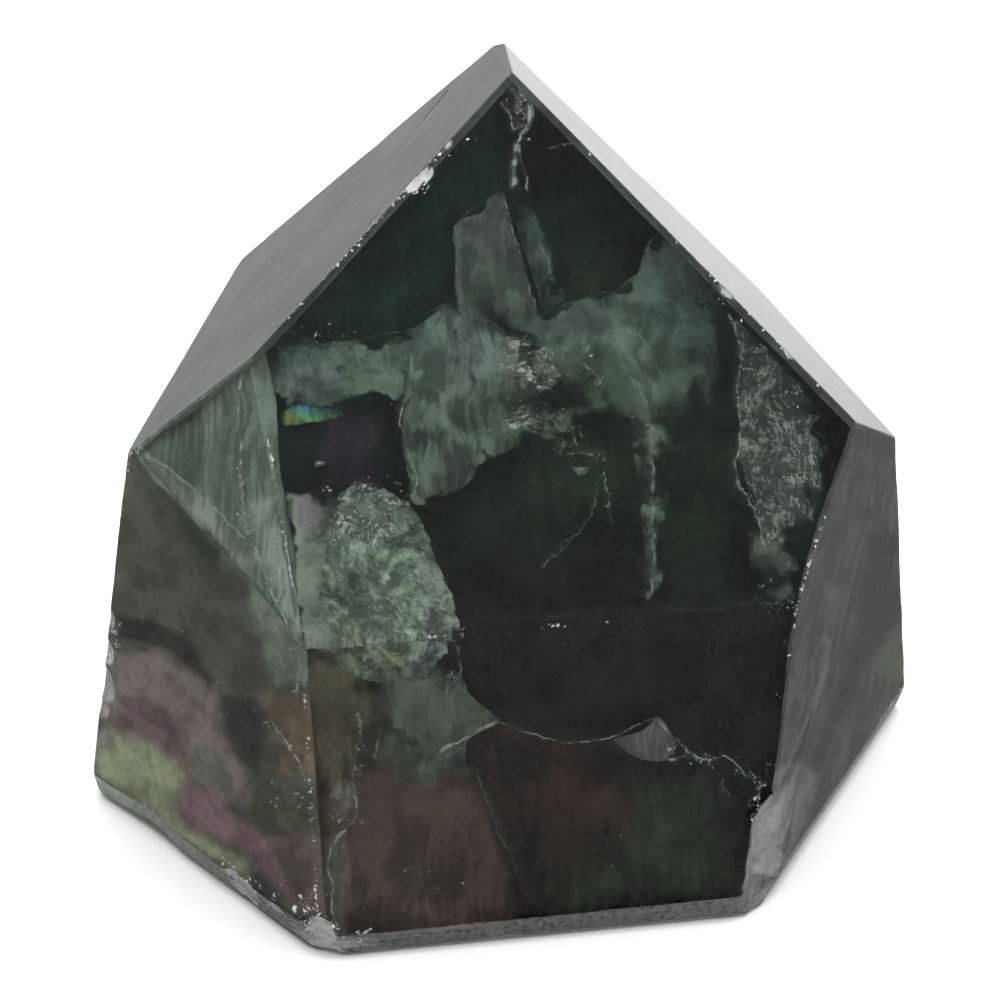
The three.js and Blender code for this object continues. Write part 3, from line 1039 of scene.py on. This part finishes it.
# whole faces: the sides behind get soft veils, coloured in bands up the stone, and the two
# bright upper faces a plain cloud
behind = dict(
    depth=(1.0, 1.2), fade=2.5, seed=71, waver=5, cell=0.3, finish="veil", waveCell=6, bandCell=8,
    tear=0.8, tearCell=2, margin=0.3, merge=0.001,
    look=dict(hazy, warp=1.2, cloud=(1, 5), streak=(0.5, 0.8, 6, 0), range=(0.2, 0.8), shade=0.45,
              cover=(0.55, 0.98)),
    bands=[(0, (0.3, 0.34, 0.21)), (6, (0.27, 0.31, 0.2)), (9, (0.28, 0.16, 0.19)), (15, (0.26, 0.19, 0.19)),
           (20, (0.13, 0.125, 0.11)), (30, (0.14, 0.17, 0.14)), (38, (0.3, 0.38, 0.31)),
           (45, (0.15, 0.25, 0.21)),
           (56, (0.12, 0.2, 0.18))])
upper = dict(
    behind, depth=(0.5, 0.1), fade=0, waver=1, finish="cloud",
    look=dict(cloudy, streak=(1, 0.5, 16, 60), shade=0.35),
    bands=[(0, (0.08, 0.09, 0.08)), (56, (0.06, 0.068, 0.06))])


def faceSheet(plane, loop, sheet):
    # rings of points from the outline of the face to its middle, sunk under it
    way, look, seed = faceWays[plane], sheet["look"], sheet["seed"] + plane
    closed = np.concatenate([loop, loop[:1]])
    knots = np.concatenate([[0], np.cumsum(np.linalg.norm(np.diff(closed, axis=0), axis=1))])
    columns = int(knots[-1] / (sheet["cell"] * mm))
    at = np.linspace(0, knots[-1], columns)
    rim = np.stack([np.interp(at, knots, closed[:, axis]) for axis in range(3)], -1)
    middle = loop.mean(0)
    reach = np.linalg.norm(rim - middle, axis=1)
    rows = int(reach.max() / (sheet["cell"] * mm))
    share = np.linspace(1, 0, rows)[:, None]
    points = middle + (rim - middle)[None] * share[..., None]
    across = unit(np.cross((0, 0, 1), way))
    flat = np.stack([(points - middle) @ across, (points - middle) @ np.cross(way, across)], -1) / mm
    light = texture(flat, look, seed)
    near, wave = sheet["depth"]
    space = points / mm
    depth = near + wave * (0.5 + 0.5 * noise(space, sheet["waveCell"], seed))
    height = space[..., 2] + sheet["waver"] * noise(space, sheet["bandCell"], seed + 1)
    levels = [level for level, colour in sheet["bands"]]
    colours = np.array([colour for level, colour in sheet["bands"]])
    tint = np.stack([np.interp(height, levels, colours[:, channel]) for channel in range(3)], -1)
    tint = tint * (look["shade"] + (1 - look["shade"]) * light)[..., None]
    thin, thick = look["cover"]
    cover = thin + (thick - thin) * light
    if sheet["fade"]:
        torn = sheet["tear"] * noise(space, sheet["tearCell"], seed + 2, veiled["tearOctaves"])
        cover = cover * ramp(0, sheet["fade"], (1 - share) * reach / mm + torn)
    points = keptInside((points - way * (depth * mm)[..., None]).reshape(-1, 3), sheet["margin"])
    keys = np.round(points / (sheet["merge"] * mm)).astype(np.int64)
    _, first, back = np.unique(keys, axis=0, return_index=True, return_inverse=True)
    cells = back.reshape(-1)[gridCells(rows, columns)]
    marks = dict(tint=tint.reshape(-1, 3)[first], cover=cover.ravel()[first])
    makePiece("face_sheet_" + str(plane), points[first], cells, finishes[sheet["finish"]], marks)


# how much a face looks up: seen ones above the first get the upper sheet, and hidden ones above
# the second the one for faces behind, so the base and its bevels behind have none
lookingUp = dict(seen=0.65, hidden=-0.15)


def makeFaceSheets():
    corners, made = cornersOf(), []
    for plane, way in enumerate(faceWays):
        loop = outlineOf(plane, corners)
        away = way @ sights[0]["ahead"]
        plain = away < 0 and way[2] > lookingUp["seen"]
        if plain or (away > 0 and way[2] > lookingUp["hidden"]):
            faceSheet(plane, loop, upper if plain else behind)
            made.append(plane)
    print("face sheets made under faces", made)


makeFaceSheets()


# how every crack is drawn: steps, jitter, core and taper in pixels, and cells of noise in mm
drawn = dict(step=1.3, fewest=8, seedStep=5.3, jitter=1.7, jitterCell=0.4, core=0.38, swellFrom=0.35,
             swellBy=0.9, swellCell=0.9, beadCell=0.5, beadRange=(-0.35, 0.45), mottleCell=0.6, taper=5,
             octaves=3)


# cracks: thin bright rims, each with a faint skirt that dives into the stone
def crackStrip(crack, seed):
    # the rim follows its path with a small jitter, and the strip runs aside from it by up to
    # the spread while it dives; cover is a broken bright core at the rim and a fading skirt
    path = np.array(crack["path"], float)
    length = np.linalg.norm(np.diff(path, axis=0), axis=1).sum()
    columns = max(drawn["fewest"], int(length / drawn["step"]))
    line = smoothLine(path, columns)
    ripple = np.concatenate([line * pixelSize, np.full((columns, 1), seed * drawn["seedStep"])], -1)
    along = unit(np.gradient(line, axis=0))
    aside = np.stack([-along[:, 1], along[:, 0]], -1)
    jitter = drawn["jitter"] * noise(ripple, drawn["jitterCell"], seed, drawn["octaves"])
    line = line + aside * jitter[:, None]
    spread, core = crack["spread"], crack["width"] * drawn["core"]
    across = np.concatenate([[-3 * core, -core, 0, core, 3 * core],
                             np.linspace(3, 9, 4) / 9 * abs(spread) + 3 * core])
    swell = 0.5 + 0.5 * noise(ripple, drawn["swellCell"], seed + 1, drawn["octaves"])
    swell = drawn["swellFrom"] + drawn["swellBy"] * swell
    offset = across[:, None] * swell[None]
    spots = line[None] + aside[None] * (np.sign(spread) * offset)[..., None]
    depth = crack["depth"] + crack["dive"] * np.maximum(offset, 0) / abs(spread)
    points = inward(spots[..., 0], spots[..., 1], depth, azimuth=crack["azimuth"])
    steady = crack["beads"]
    beads = ramp(*drawn["beadRange"], noise(ripple, drawn["beadCell"], seed + 2, drawn["octaves"]))
    beads = beads * (1 - steady) + steady
    rim = np.exp(-((across / core) ** 2) * 0.7)[:, None] * beads[None] * crack["cover"]
    skirt = np.where(across > 0, np.exp(-across / abs(spread) * 2), 0)[:, None] * crack["skirt"]
    space = np.concatenate([spots * pixelSize, np.full(spots.shape[:-1] + (1,), seed)], -1)
    mottle = 0.5 + 0.5 * noise(space, drawn["mottleCell"], seed + 3)
    taper = np.minimum(np.arange(columns), np.arange(columns)[::-1]) / drawn["taper"]
    cover = np.maximum(rim, skirt * mottle) * np.clip(taper, 0, 1)
    tint = np.zeros(cover.shape + (3,)) + crack["tint"]
    return points.reshape(-1, 3), gridCells(*cover.shape), cover.ravel(), tint.reshape(-1, 3)


def makeCracks(name, cracks, seed):
    points, cells, covers, tints, count = [], [], [], [], 0
    for number, crack in enumerate(cracks):
        strip = crackStrip(crack, seed + 7 * number)
        points.append(strip[0])
        cells.append(strip[1] + count)
        covers.append(strip[2])
        tints.append(strip[3])
        count += len(strip[0])
    marks = dict(cover=np.clip(np.concatenate(covers), 0, 1), tint=np.concatenate(tints))
    return makePiece(name, np.concatenate(points), np.concatenate(cells), finishes["crushed"], marks)


plainCrack = dict(spread=8, width=2.2, dive=1.2, azimuth=0, beads=0.2, cover=0.8, skirt=0.2,
                  tint=(0.72, 0.78, 0.73))


def crack(path, **values):
    return dict(plainCrack, path=path, **values)


inkDark = (0.012, 0.014, 0.013)
tipCracks = [
    crack([(516, 84), (526, 100), (528, 125), (519, 140), (516, 151), (513, 168), (512, 190)], depth=0.4,
          width=4.5, skirt=0.5, cover=1, spread=5),
    crack([(327, 461), (313, 465)], depth=0.6, width=5, cover=0.7, beads=0.8),
    crack([(519, 140), (520, 162), (526, 176), (528, 194)], depth=0.6, width=2, spread=6),
    crack([(498, 98), (511, 121), (514, 134)], depth=0.5, width=2),
    crack([(538, 98), (537, 106), (531, 119)], depth=0.5, width=2),
    crack([(546, 151), (565, 143), (579, 144)], depth=0.8, width=1.6, cover=0.6),
    crack([(534, 212), (540, 245), (547, 258), (553, 284)], depth=2, width=3, cover=0.5, spread=14,
          skirt=0.35),
    crack([(485, 200), (457, 222), (456, 260), (456, 298)], depth=1.8, width=1.6, cover=0.7, spread=-5),
    crack([(503, 194), (515, 238), (522, 258), (528, 285), (537, 313)], depth=2, width=2.2, cover=0.8,
          spread=5),
    crack([(490, 304), (500, 318), (515, 332)], depth=1.6, width=4, tint=inkDark, beads=0.9),
    crack([(283, 328), (330, 345), (380, 335), (417, 328), (445, 304), (460, 304), (481, 315), (502, 330),
           (520, 345)], depth=2.6, width=1.6, cover=0.45, spread=10),
    crack([(520, 345), (541, 315), (558, 307), (592, 296), (624, 285), (639, 270), (645, 247), (664, 230)],
          depth=2.6, width=1.6, cover=0.45, spread=10),
    crack([(408, 366), (411, 381), (408, 394), (402, 407), (400, 419), (404, 436), (408, 454), (417, 475),
           (413, 500)], depth=1.2, width=2.6, spread=10),
    crack([(403, 366), (406, 381), (402, 394), (396, 407), (394, 419), (398, 436), (403, 454), (411, 475),
           (408, 498)], depth=1.0, width=4, tint=inkDark, beads=0.9, skirt=0),
    crack([(498, 419), (512, 412), (528, 421), (545, 415), (562, 430)], depth=2, width=3, cover=0.8,
          spread=12),
    crack([(496, 432), (520, 426), (540, 436)], depth=2, width=2, cover=0.6),
    crack([(578, 362), (590, 370), (604, 384)], depth=1.5, width=4, cover=0.7),
    crack([(613, 322), (630, 330), (651, 352), (661, 378)], depth=2, width=1.8, cover=0.6, spread=8),
    crack([(585, 356), (593, 341), (604, 337), (617, 352), (623, 367), (634, 382), (644, 403)], depth=1.8,
          width=1.8, cover=0.6, tint=(0.5, 0.75, 0.55)),
    crack([(604, 469), (606, 486), (608, 501), (612, 526)], depth=1.5, width=2, cover=0.8, spread=6),
    crack([(570, 422), (583, 454), (606, 454)], depth=1.8, width=1.6, beads=0.1),
    crack([(602, 480), (585, 524), (572, 539), (559, 552), (538, 568)], depth=2, width=1.4, cover=0.4),
    crack([(634, 377), (646, 401), (648, 420), (649, 441), (651, 458), (653, 480), (652, 520), (654, 560),
           (650, 602)], depth=1.6, width=3, cover=0.6, spread=16, skirt=0.45),
    crack([(637, 495), (644, 516), (644, 570)], depth=1.8, width=3, tint=inkDark, beads=0.9, skirt=0),
    crack([(728, 313), (736, 330), (740, 367), (738, 392), (739, 446), (735, 465), (738, 484), (749, 501),
           (760, 527), (764, 550)], depth=1.0, width=2.2, spread=10, skirt=0.3),
    crack([(738, 369), (748, 368), (760, 374)], depth=0.8, width=2),
    crack([(772, 377), (760, 392), (751, 405), (753, 428)], depth=1, width=1.8, cover=0.7),
    crack([(242, 366), (238, 420), (240, 436), (242, 492), (248, 535), (261, 564), (272, 592), (284, 618),
           (300, 648)], depth=0.4, width=2.6, spread=6),
    crack([(261, 396), (268, 430), (280, 472)], depth=1.2, width=2, cover=0.5, spread=5),
]
frontCracks = [
    crack([(462, 622), (560, 618), (632, 613), (700, 610), (786, 604)], depth=0.3, width=12, tint=inkDark,
          beads=1, cover=0.75, skirt=0),
    crack([(298, 652), (299, 674), (296, 695)], depth=0.3, width=3, beads=0.2),
    crack([(266, 715), (276, 728), (288, 746), (299, 764), (308, 784)], depth=0.3, width=2.2, beads=0.3),
    crack([(357, 710), (360, 731), (355, 756), (353, 782), (356, 814), (334, 843), (328, 866), (333, 888),
           (331, 908), (338, 930)], depth=0.5, width=2.4, spread=6, cover=0.85),
    crack([(381, 722), (377, 748), (372, 765)], depth=0.8, width=2.6, cover=0.5),
    crack([(455, 640), (460, 674), (447, 690), (446, 712)], depth=1.0, width=1.8, cover=0.6),
    crack([(436, 752), (467, 737), (484, 727), (500, 720)], depth=0.4, width=2.6, cover=0.9, spread=-6),
    crack([(498, 721), (516, 729), (538, 736), (561, 741), (598, 740), (616, 735), (640, 724), (655, 718)],
          depth=0.6, width=1.4, cover=0.6, spread=4),
    crack([(655, 718), (673, 737), (684, 748), (696, 757), (711, 760)], depth=0.4, width=2.6, spread=4),
    crack([(660, 761), (676, 758), (696, 757)], depth=0.3, width=2.6),
    crack([(711, 760), (724, 755), (736, 765), (748, 776), (762, 790)], depth=0.4, width=2, spread=5),
    crack([(722, 776), (724, 790), (734, 799)], depth=0.5, width=2, cover=0.7),
    crack([(472, 764), (481, 784), (490, 812), (497, 832), (511, 856), (514, 880)], depth=1.2, width=1.2,
          cover=0.35, spread=-12),
]
leftCracks = [
    crack([(134, 444), (160, 462), (184, 481), (215, 508), (248, 541)], depth=0.6, width=5, cover=0.45,
          beads=0.8, spread=-6),
    crack([(145, 457), (184, 502), (220, 540), (248, 574), (255, 620), (268, 658), (273, 702), (264, 734),
           (253, 760)], depth=0.7, width=1.6, cover=0.5, spread=-6),
    crack([(150, 478), (183, 518), (200, 548)], depth=0.9, width=1.6, cover=0.35),
    crack([(230, 809), (258, 825), (277, 847), (296, 884), (303, 914)], depth=0.6, width=1.8, cover=0.5),
]
backCracks = [
    crack([(420, 200), (445, 290), (430, 380), (470, 450)], depth=0.8, azimuth=150),
    crack([(600, 330), (560, 430), (590, 520), (570, 640), (600, 760)], depth=1.0, azimuth=150, spread=12),
    crack([(330, 560), (380, 600), (400, 690), (450, 740)], depth=0.6, azimuth=150),
    crack([(300, 420), (360, 470), (380, 560), (350, 650), (380, 760)], depth=0.8, azimuth=225, spread=10),
    crack([(600, 560), (640, 640), (620, 740), (660, 820)], depth=0.7, azimuth=225),
    crack([(560, 180), (580, 260), (560, 330), (600, 400)], depth=1.0, azimuth=225),
    crack([(620, 500), (680, 580), (660, 700), (690, 790)], depth=0.8, azimuth=75, spread=12),
    crack([(560, 240), (600, 320), (590, 400)], depth=0.8, azimuth=75),
    crack([(330, 480), (300, 560), (330, 650)], depth=0.8, azimuth=290),
]
makeCracks("cracks_back", backCracks, 501)
makeCracks("cracks_tip", tipCracks, 101)
makeCracks("cracks_front", frontCracks, 301)
makeCracks("cracks_left", leftCracks, 401)
print("cracks made:", len(tipCracks) + len(frontCracks) + len(leftCracks) + len(backCracks))


# what all flakes share: their rim points, how far these reach, how squashed and tilted a flake is,
# how bright it is, how many lie in a clump and how wide, in pixels, and how rare large ones are
flake = dict(rim=5, reach=(0.35, 1), squash=(0.2, 0.8), turn=6.28, tilt=0.6, glow=(0.3, 1), clump=4,
             clumpWidth=2.4, rare=4, shallowest=0.04, places=200)


# sparkles: small bright flakes, strewn where the stone is cracked, chipped or rubbed
def onSkin(points, lift):
    # straight out from the heart to the rounded and chipped skin, and lift mm above it
    surface = scarred(rounded(points, sharpnessAt(points)), spheres)[0]
    return surface + unit(surface - heart) * lift * mm


def makeFans(name, around, tints, draw):
    # a flake is a fan: around holds its middle and then its rim points
    count, points = around.shape[:2]
    first = np.arange(count)[:, None] * points
    ring = np.arange(points - 1)[None] + 1
    cells = np.stack([first + 0 * ring, first + np.roll(ring, -1, 1), first + ring, first + ring],
                     -1).reshape(-1, 4)
    tint = np.repeat(tints * draw.uniform(*flake["glow"], (count, 1)), points, 0)
    marks = dict(tint=tint, cover=np.full(count * points, 1.0))
    return makePiece(name, around.reshape(-1, 3), cells, finishes["crushed"], marks, smooth=False)


def flakeRim(sizes, draw):
    # rim points at uneven distances, squashed and turned at random, after the middle
    count, rim = len(sizes), flake["rim"]
    turn = np.arange(rim) * 2 * np.pi / rim + draw.random((count, 1)) * flake["turn"]
    reach = sizes[:, None] * draw.uniform(*flake["reach"], (count, rim))
    along = np.cos(turn) * reach
    aside = np.sin(turn) * reach * draw.uniform(*flake["squash"], (count, 1))
    slant = draw.random((count, 1)) * flake["turn"]
    turned = np.stack([along * np.cos(slant) - aside * np.sin(slant),
                       along * np.sin(slant) + aside * np.cos(slant)], -1)
    return np.concatenate([np.zeros((count, 1, 2)), turned], 1)


def strewn(groups, draw):
    # flakes lie in clumps, and the clumps gather along the group's path
    spots, sizes, depths, tints = [], [], [], []
    for group in groups:
        count = group["count"]
        line = smoothLine(group["path"], flake["places"])
        clumps = line[draw.integers(0, flake["places"], count // flake["clump"] + 1)]
        clumps = clumps + draw.normal(0, group["scatter"], clumps.shape)
        chosen = clumps[draw.integers(0, len(clumps), count)]
        spots.append(chosen + draw.normal(0, flake["clumpWidth"], (count, 2)))
        small, large = group["size"]
        sizes.append(small + (large - small) * draw.random(count) ** flake["rare"])
        depths.append(draw.uniform(*group["depth"], count))
        tints.append(np.zeros((count, 3)) + group["tint"])
    return np.concatenate(spots), np.concatenate(sizes), np.concatenate(depths), np.concatenate(tints)


def makeFlakes(name, groups, seed, lift=None):
    draw = np.random.default_rng(seed)
    spots, sizes, depths, tints = strewn(groups, draw)
    around = spots[:, None] + flakeRim(sizes, draw)
    if lift is None:
        tilt = draw.uniform(-flake["tilt"], flake["tilt"], (len(spots), 1))
        tilt = tilt * (around[..., 0] - spots[:, :1]) * pixelSize
        depth = np.maximum(depths[:, None] + tilt, flake["shallowest"])
        points = inward(around[..., 0], around[..., 1], depth, margin=flake["shallowest"])
    else:
        points = onSkin(entry(around[..., 0], around[..., 1])[0], lift)
    return makeFans(name, points, tints, draw)


def edgesOf():
    # each edge once: its two corners, and the angle that its faces turn through
    corners = cornersOf()
    merged = mergedCorners(corners)
    nearest = np.argmin(np.linalg.norm(corners[:, None] - merged[None], axis=2), axis=1)
    found = {}
    for plane in range(len(planes)):
        ids = [nearest[np.argmin(np.linalg.norm(corners - p, axis=1))] for p in outlineOf(plane, corners)]
        for pair in zip(ids, ids[1:] + ids[:1]):
            found.setdefault(tuple(sorted(pair)), []).append(plane)
    pairs = sorted(pair for pair, sides in found.items() if pair[0] != pair[1] and len(sides) == 2)
    angle = [np.degrees(np.arccos(faceWays[found[pair][0]] @ faceWays[found[pair][1]])) for pair in pairs]
    return merged[np.array(pairs)], np.array(angle)


nicks = dict(perMm=9, scatter=0.07, size=(0.03, 0.2), seed=61, lift=0.012, rubbed=0.3, sharp=40, cell=7,
             octaves=4, luck=0.15, tint=0.7, skew=(0.2, 0.3, 0.9))


def makeNicks(name):
    # tiny bruises that follow the sharper edges, thick where a slow noise says they are rubbed
    draw = np.random.default_rng(nicks["seed"])
    ends, angle = edgesOf()
    ends = ends[angle > nicks["sharp"]]
    length = np.linalg.norm(ends[:, 1] - ends[:, 0], axis=1) / mm
    edge = np.repeat(np.arange(len(ends)), (length * nicks["perMm"]).astype(int))
    share = draw.random((len(edge), 1))
    spots = ends[edge, 0] * (1 - share) + ends[edge, 1] * share
    hurt = noise(spots, nicks["cell"] * mm, nicks["seed"], nicks["octaves"])
    hurt = hurt + draw.uniform(-nicks["luck"], nicks["luck"], len(spots))
    spots = spots[hurt > nicks["rubbed"]]
    spots = spots + draw.normal(0, nicks["scatter"] * mm, spots.shape)
    small, large = nicks["size"]
    sizes = (small + (large - small) * draw.random(len(spots)) ** flake["rare"]) * mm
    way = unit(spots - heart)
    side = unit(np.cross(way, nicks["skew"]))
    rim = flakeRim(sizes, draw)
    around = spots[:, None] + rim[..., :1] * side[:, None] + rim[..., 1:] * np.cross(way, side)[:, None]
    makeFans(name, onSkin(around, nicks["lift"]), np.full((len(spots), 3), nicks["tint"]), draw)
    print("nicks made:", len(spots))


def strew(path, count, scatter, size, depth=(0.1, 0.6), tint=(0.8, 0.83, 0.8)):
    return dict(path=path, count=count, scatter=scatter, size=size, depth=depth, tint=tint)


innerFlakes = [
    strew([(500, 90), (528, 105), (528, 128)], 46, 7, (0.8, 3), (0.2, 1)),
    strew([(528, 125), (516, 151), (513, 187)], 30, 2.5, (0.7, 2.2), (0.3, 1)),
    strew([(483, 230), (470, 236), (480, 245)], 5, 4, (1, 2), (1, 2)),
    strew([(283, 323), (310, 332), (332, 334), (351, 340)], 40, 5, (0.7, 2.3), (2, 3)),
    strew([(488, 365), (520, 352), (560, 372)], 170, 14, (0.5, 1.9), (0.5, 0.9)),
    strew([(500, 415), (530, 420), (560, 424)], 110, 11, (0.5, 1.8), (0.7, 1.1)),
    strew([(580, 362), (592, 372), (604, 384)], 24, 6, (0.8, 3), (1, 1.8)),
    strew([(560, 440), (583, 454), (606, 462)], 70, 9, (0.5, 1.9), (0.8, 1.5)),
    strew([(602, 470), (610, 520)], 12, 3, (0.7, 2.4), (1, 2)),
    strew([(580, 520), (540, 565)], 14, 4, (0.6, 1.8), (1, 2)),
    strew([(634, 379), (650, 440), (652, 500)], 50, 8, (0.5, 1.6), (0.8, 1.6)),
    strew([(340, 490), (375, 488), (408, 500)], 90, 9, (0.8, 3), (0.8, 1.6)),
    strew([(410, 505), (440, 570), (460, 640), (447, 690)], 60, 4, (0.7, 2.6), (0.8, 1.6)),
    strew([(330, 540), (380, 600), (380, 670)], 110, 34, (0.6, 2.4), (0.8, 1.6), tint=(0.6, 0.68, 0.58)),
    strew([(795, 378), (790, 430), (815, 500)], 150, 13, (0.6, 2.6), (0.6, 1.6)),
    strew([(740, 345), (740, 440), (752, 510)], 40, 4, (0.6, 2.2), (0.6, 1.4)),
    strew([(240, 370), (240, 440), (243, 500)], 30, 2, (0.6, 2), (0.1, 0.5)),
    strew([(243, 500), (262, 565), (280, 610), (299, 655)], 60, 3.5, (0.7, 2.6), (0.1, 0.5)),
    strew([(299, 655), (298, 700)], 22, 4, (0.7, 2.6), (0.1, 0.4)),
    strew([(268, 722), (290, 750), (308, 784)], 36, 3.5, (0.7, 2.4), (0.1, 0.5)),
    strew([(256, 786), (280, 798), (304, 803), (333, 820), (368, 830)], 70, 6, (0.7, 3), (0.1, 0.8)),
    strew([(357, 712), (355, 781), (333, 844), (332, 910)], 34, 3, (0.6, 2.2), (0.2, 0.6)),
    strew([(384, 858), (420, 875), (471, 892), (489, 906)], 26, 6, (0.6, 2.3), (0.4, 1.4)),
    strew([(446, 746), (470, 735), (496, 721)], 24, 3, (0.7, 2.4), (0.2, 0.6)),
    strew([(664, 740), (690, 757), (711, 760)], 40, 3.5, (0.8, 3), (0.2, 0.6)),
    strew([(720, 757), (735, 765), (757, 788)], 26, 4, (0.6, 2.4), (0.2, 0.6)),
    strew([(760, 552), (770, 606), (790, 600)], 26, 6, (0.8, 3), (0.3, 1)),
    strew([(560, 250), (700, 330), (640, 540)], 60, 60, (0.5, 1.5), (1, 4)),
    strew([(320, 380), (430, 420), (520, 520)], 50, 50, (0.5, 1.6), (1, 3)),
    strew([(150, 560), (190, 700), (240, 860)], 40, 34, (0.5, 1.5), (0.1, 0.4)),
    strew([(420, 820), (560, 860), (720, 700)], 30, 60, (0.5, 1.5), (0.5, 2)),
]
skinFlakes = [
    strew([(468, 133), (445, 153), (421, 185), (385, 210)], 36, 2, (0.7, 2.6)),
    strew([(412, 189), (424, 190)], 10, 2.5, (1.5, 4.5)),
    strew([(114, 612), (116, 650), (120, 700)], 80, 3.5, (0.6, 2.6), tint=(0.6, 0.6, 0.62)),
    strew([(224, 857), (240, 876), (258, 893)], 70, 4.5, (0.9, 4)),
    strew([(300, 906), (318, 925), (338, 940)], 120, 6.5, (0.9, 4)),
    strew([(266, 896), (276, 899)], 14, 3.5, (1, 3.4), tint=(0.6, 0.6, 0.85)),
    strew([(97, 757), (110, 800), (160, 845), (224, 880)], 60, 3, (0.5, 2)),
    strew([(766, 778), (756, 800), (758, 830), (761, 858), (750, 890)], 70, 2.6, (0.7, 2.6)),
    strew([(760, 772), (790, 766), (800, 760)], 24, 3, (0.7, 2.2), tint=(0.5, 0.48, 0.5)),
    strew([(133, 446), (150, 455)], 18, 4, (0.7, 2.4)),
    strew([(723, 294), (760, 330), (800, 366)], 26, 3, (0.6, 2.2)),
    strew([(790, 600), (783, 690), (780, 760)], 14, 2, (0.6, 2)),
]
makeFlakes("sparkles_inside", innerFlakes, 51)
makeFlakes("sparkles_skin", skinFlakes, 52, nicks["lift"])
makeNicks("nicks")
print("sparkles made")


# the world is dark in front and bright behind, low underfoot and dimmer on the left, and each pair
# says over which share of the way it changes; the lamp hangs overhead
light = dict(dark=0.33, bright=1.3, low=0.19, left=0.47, behind=(-0.75, 0.1), under=(-0.5, -0.3),
             aside=(-0.4, 0.1), lamp=34, lampSize=1.6, lampPlace=(0, 0.1, 1.5),
             floor=(0.86, 0.86, 0.855), floorRough=0.9, floorHalf=6.0, floorDrop=-0.0003)


def lightScene():
    world = bpy.data.worlds.new("studio")
    scene.world = world
    world.use_nodes = True
    tree = world.node_tree
    way = put(tree, "SeparateXYZ", Vector=put(tree, "TexCoord").outputs["Generated"])
    strength = between(tree, way.outputs["Y"], *light["behind"], light["dark"], light["bright"])
    underfoot = between(tree, way.outputs["Z"], *light["under"], light["low"], 1)
    leftward = between(tree, way.outputs["X"], *light["aside"], light["left"], 1)
    strength = math(tree, "MULTIPLY", math(tree, "MULTIPLY", strength, underfoot), leftward)
    background = tree.nodes["Background"]
    background.inputs["Color"].default_value = (1, 1, 1, 1)
    feed(tree, background.inputs["Strength"], strength)
    lamp = bpy.data.lights.new("overhead", "AREA")
    lamp.shape, lamp.size, lamp.energy = "DISK", light["lampSize"], light["lamp"]
    overhead = bpy.data.objects.new("overhead", lamp)
    overhead.location = light["lampPlace"]
    overhead.visible_glossy = False
    scene.collection.objects.link(overhead)


def makeFloor():
    half, drop = light["floorHalf"], light["floorDrop"]
    sheet = bpy.data.meshes.new("floor")
    corners = [(-half, -half, drop), (half, -half, drop), (half, half, drop), (-half, half, drop)]
    sheet.from_pydata(corners, [], [(0, 1, 2, 3)])
    material, _, surface = newMaterial("paleFloor")
    surface.inputs["Base Color"].default_value = (*light["floor"], 1)
    surface.inputs["Roughness"].default_value = light["floorRough"]
    surface.inputs["Specular IOR Level"].default_value = 0
    sheet.materials.append(material)
    floor = bpy.data.objects.new("floor", sheet)
    scene.collection.objects.link(floor)
    floor.visible_glossy = False


lightScene()
makeFloor()
scene.view_settings.view_transform = "Standard"
scene.cycles.max_bounces = 6
scene.cycles.diffuse_bounces = 2
scene.cycles.transmission_bounces = 5
scene.cycles.transparent_max_bounces = 12
scene.cycles.adaptive_threshold = 0.12
scene.cycles.use_denoising = True
print("lights and floor placed")
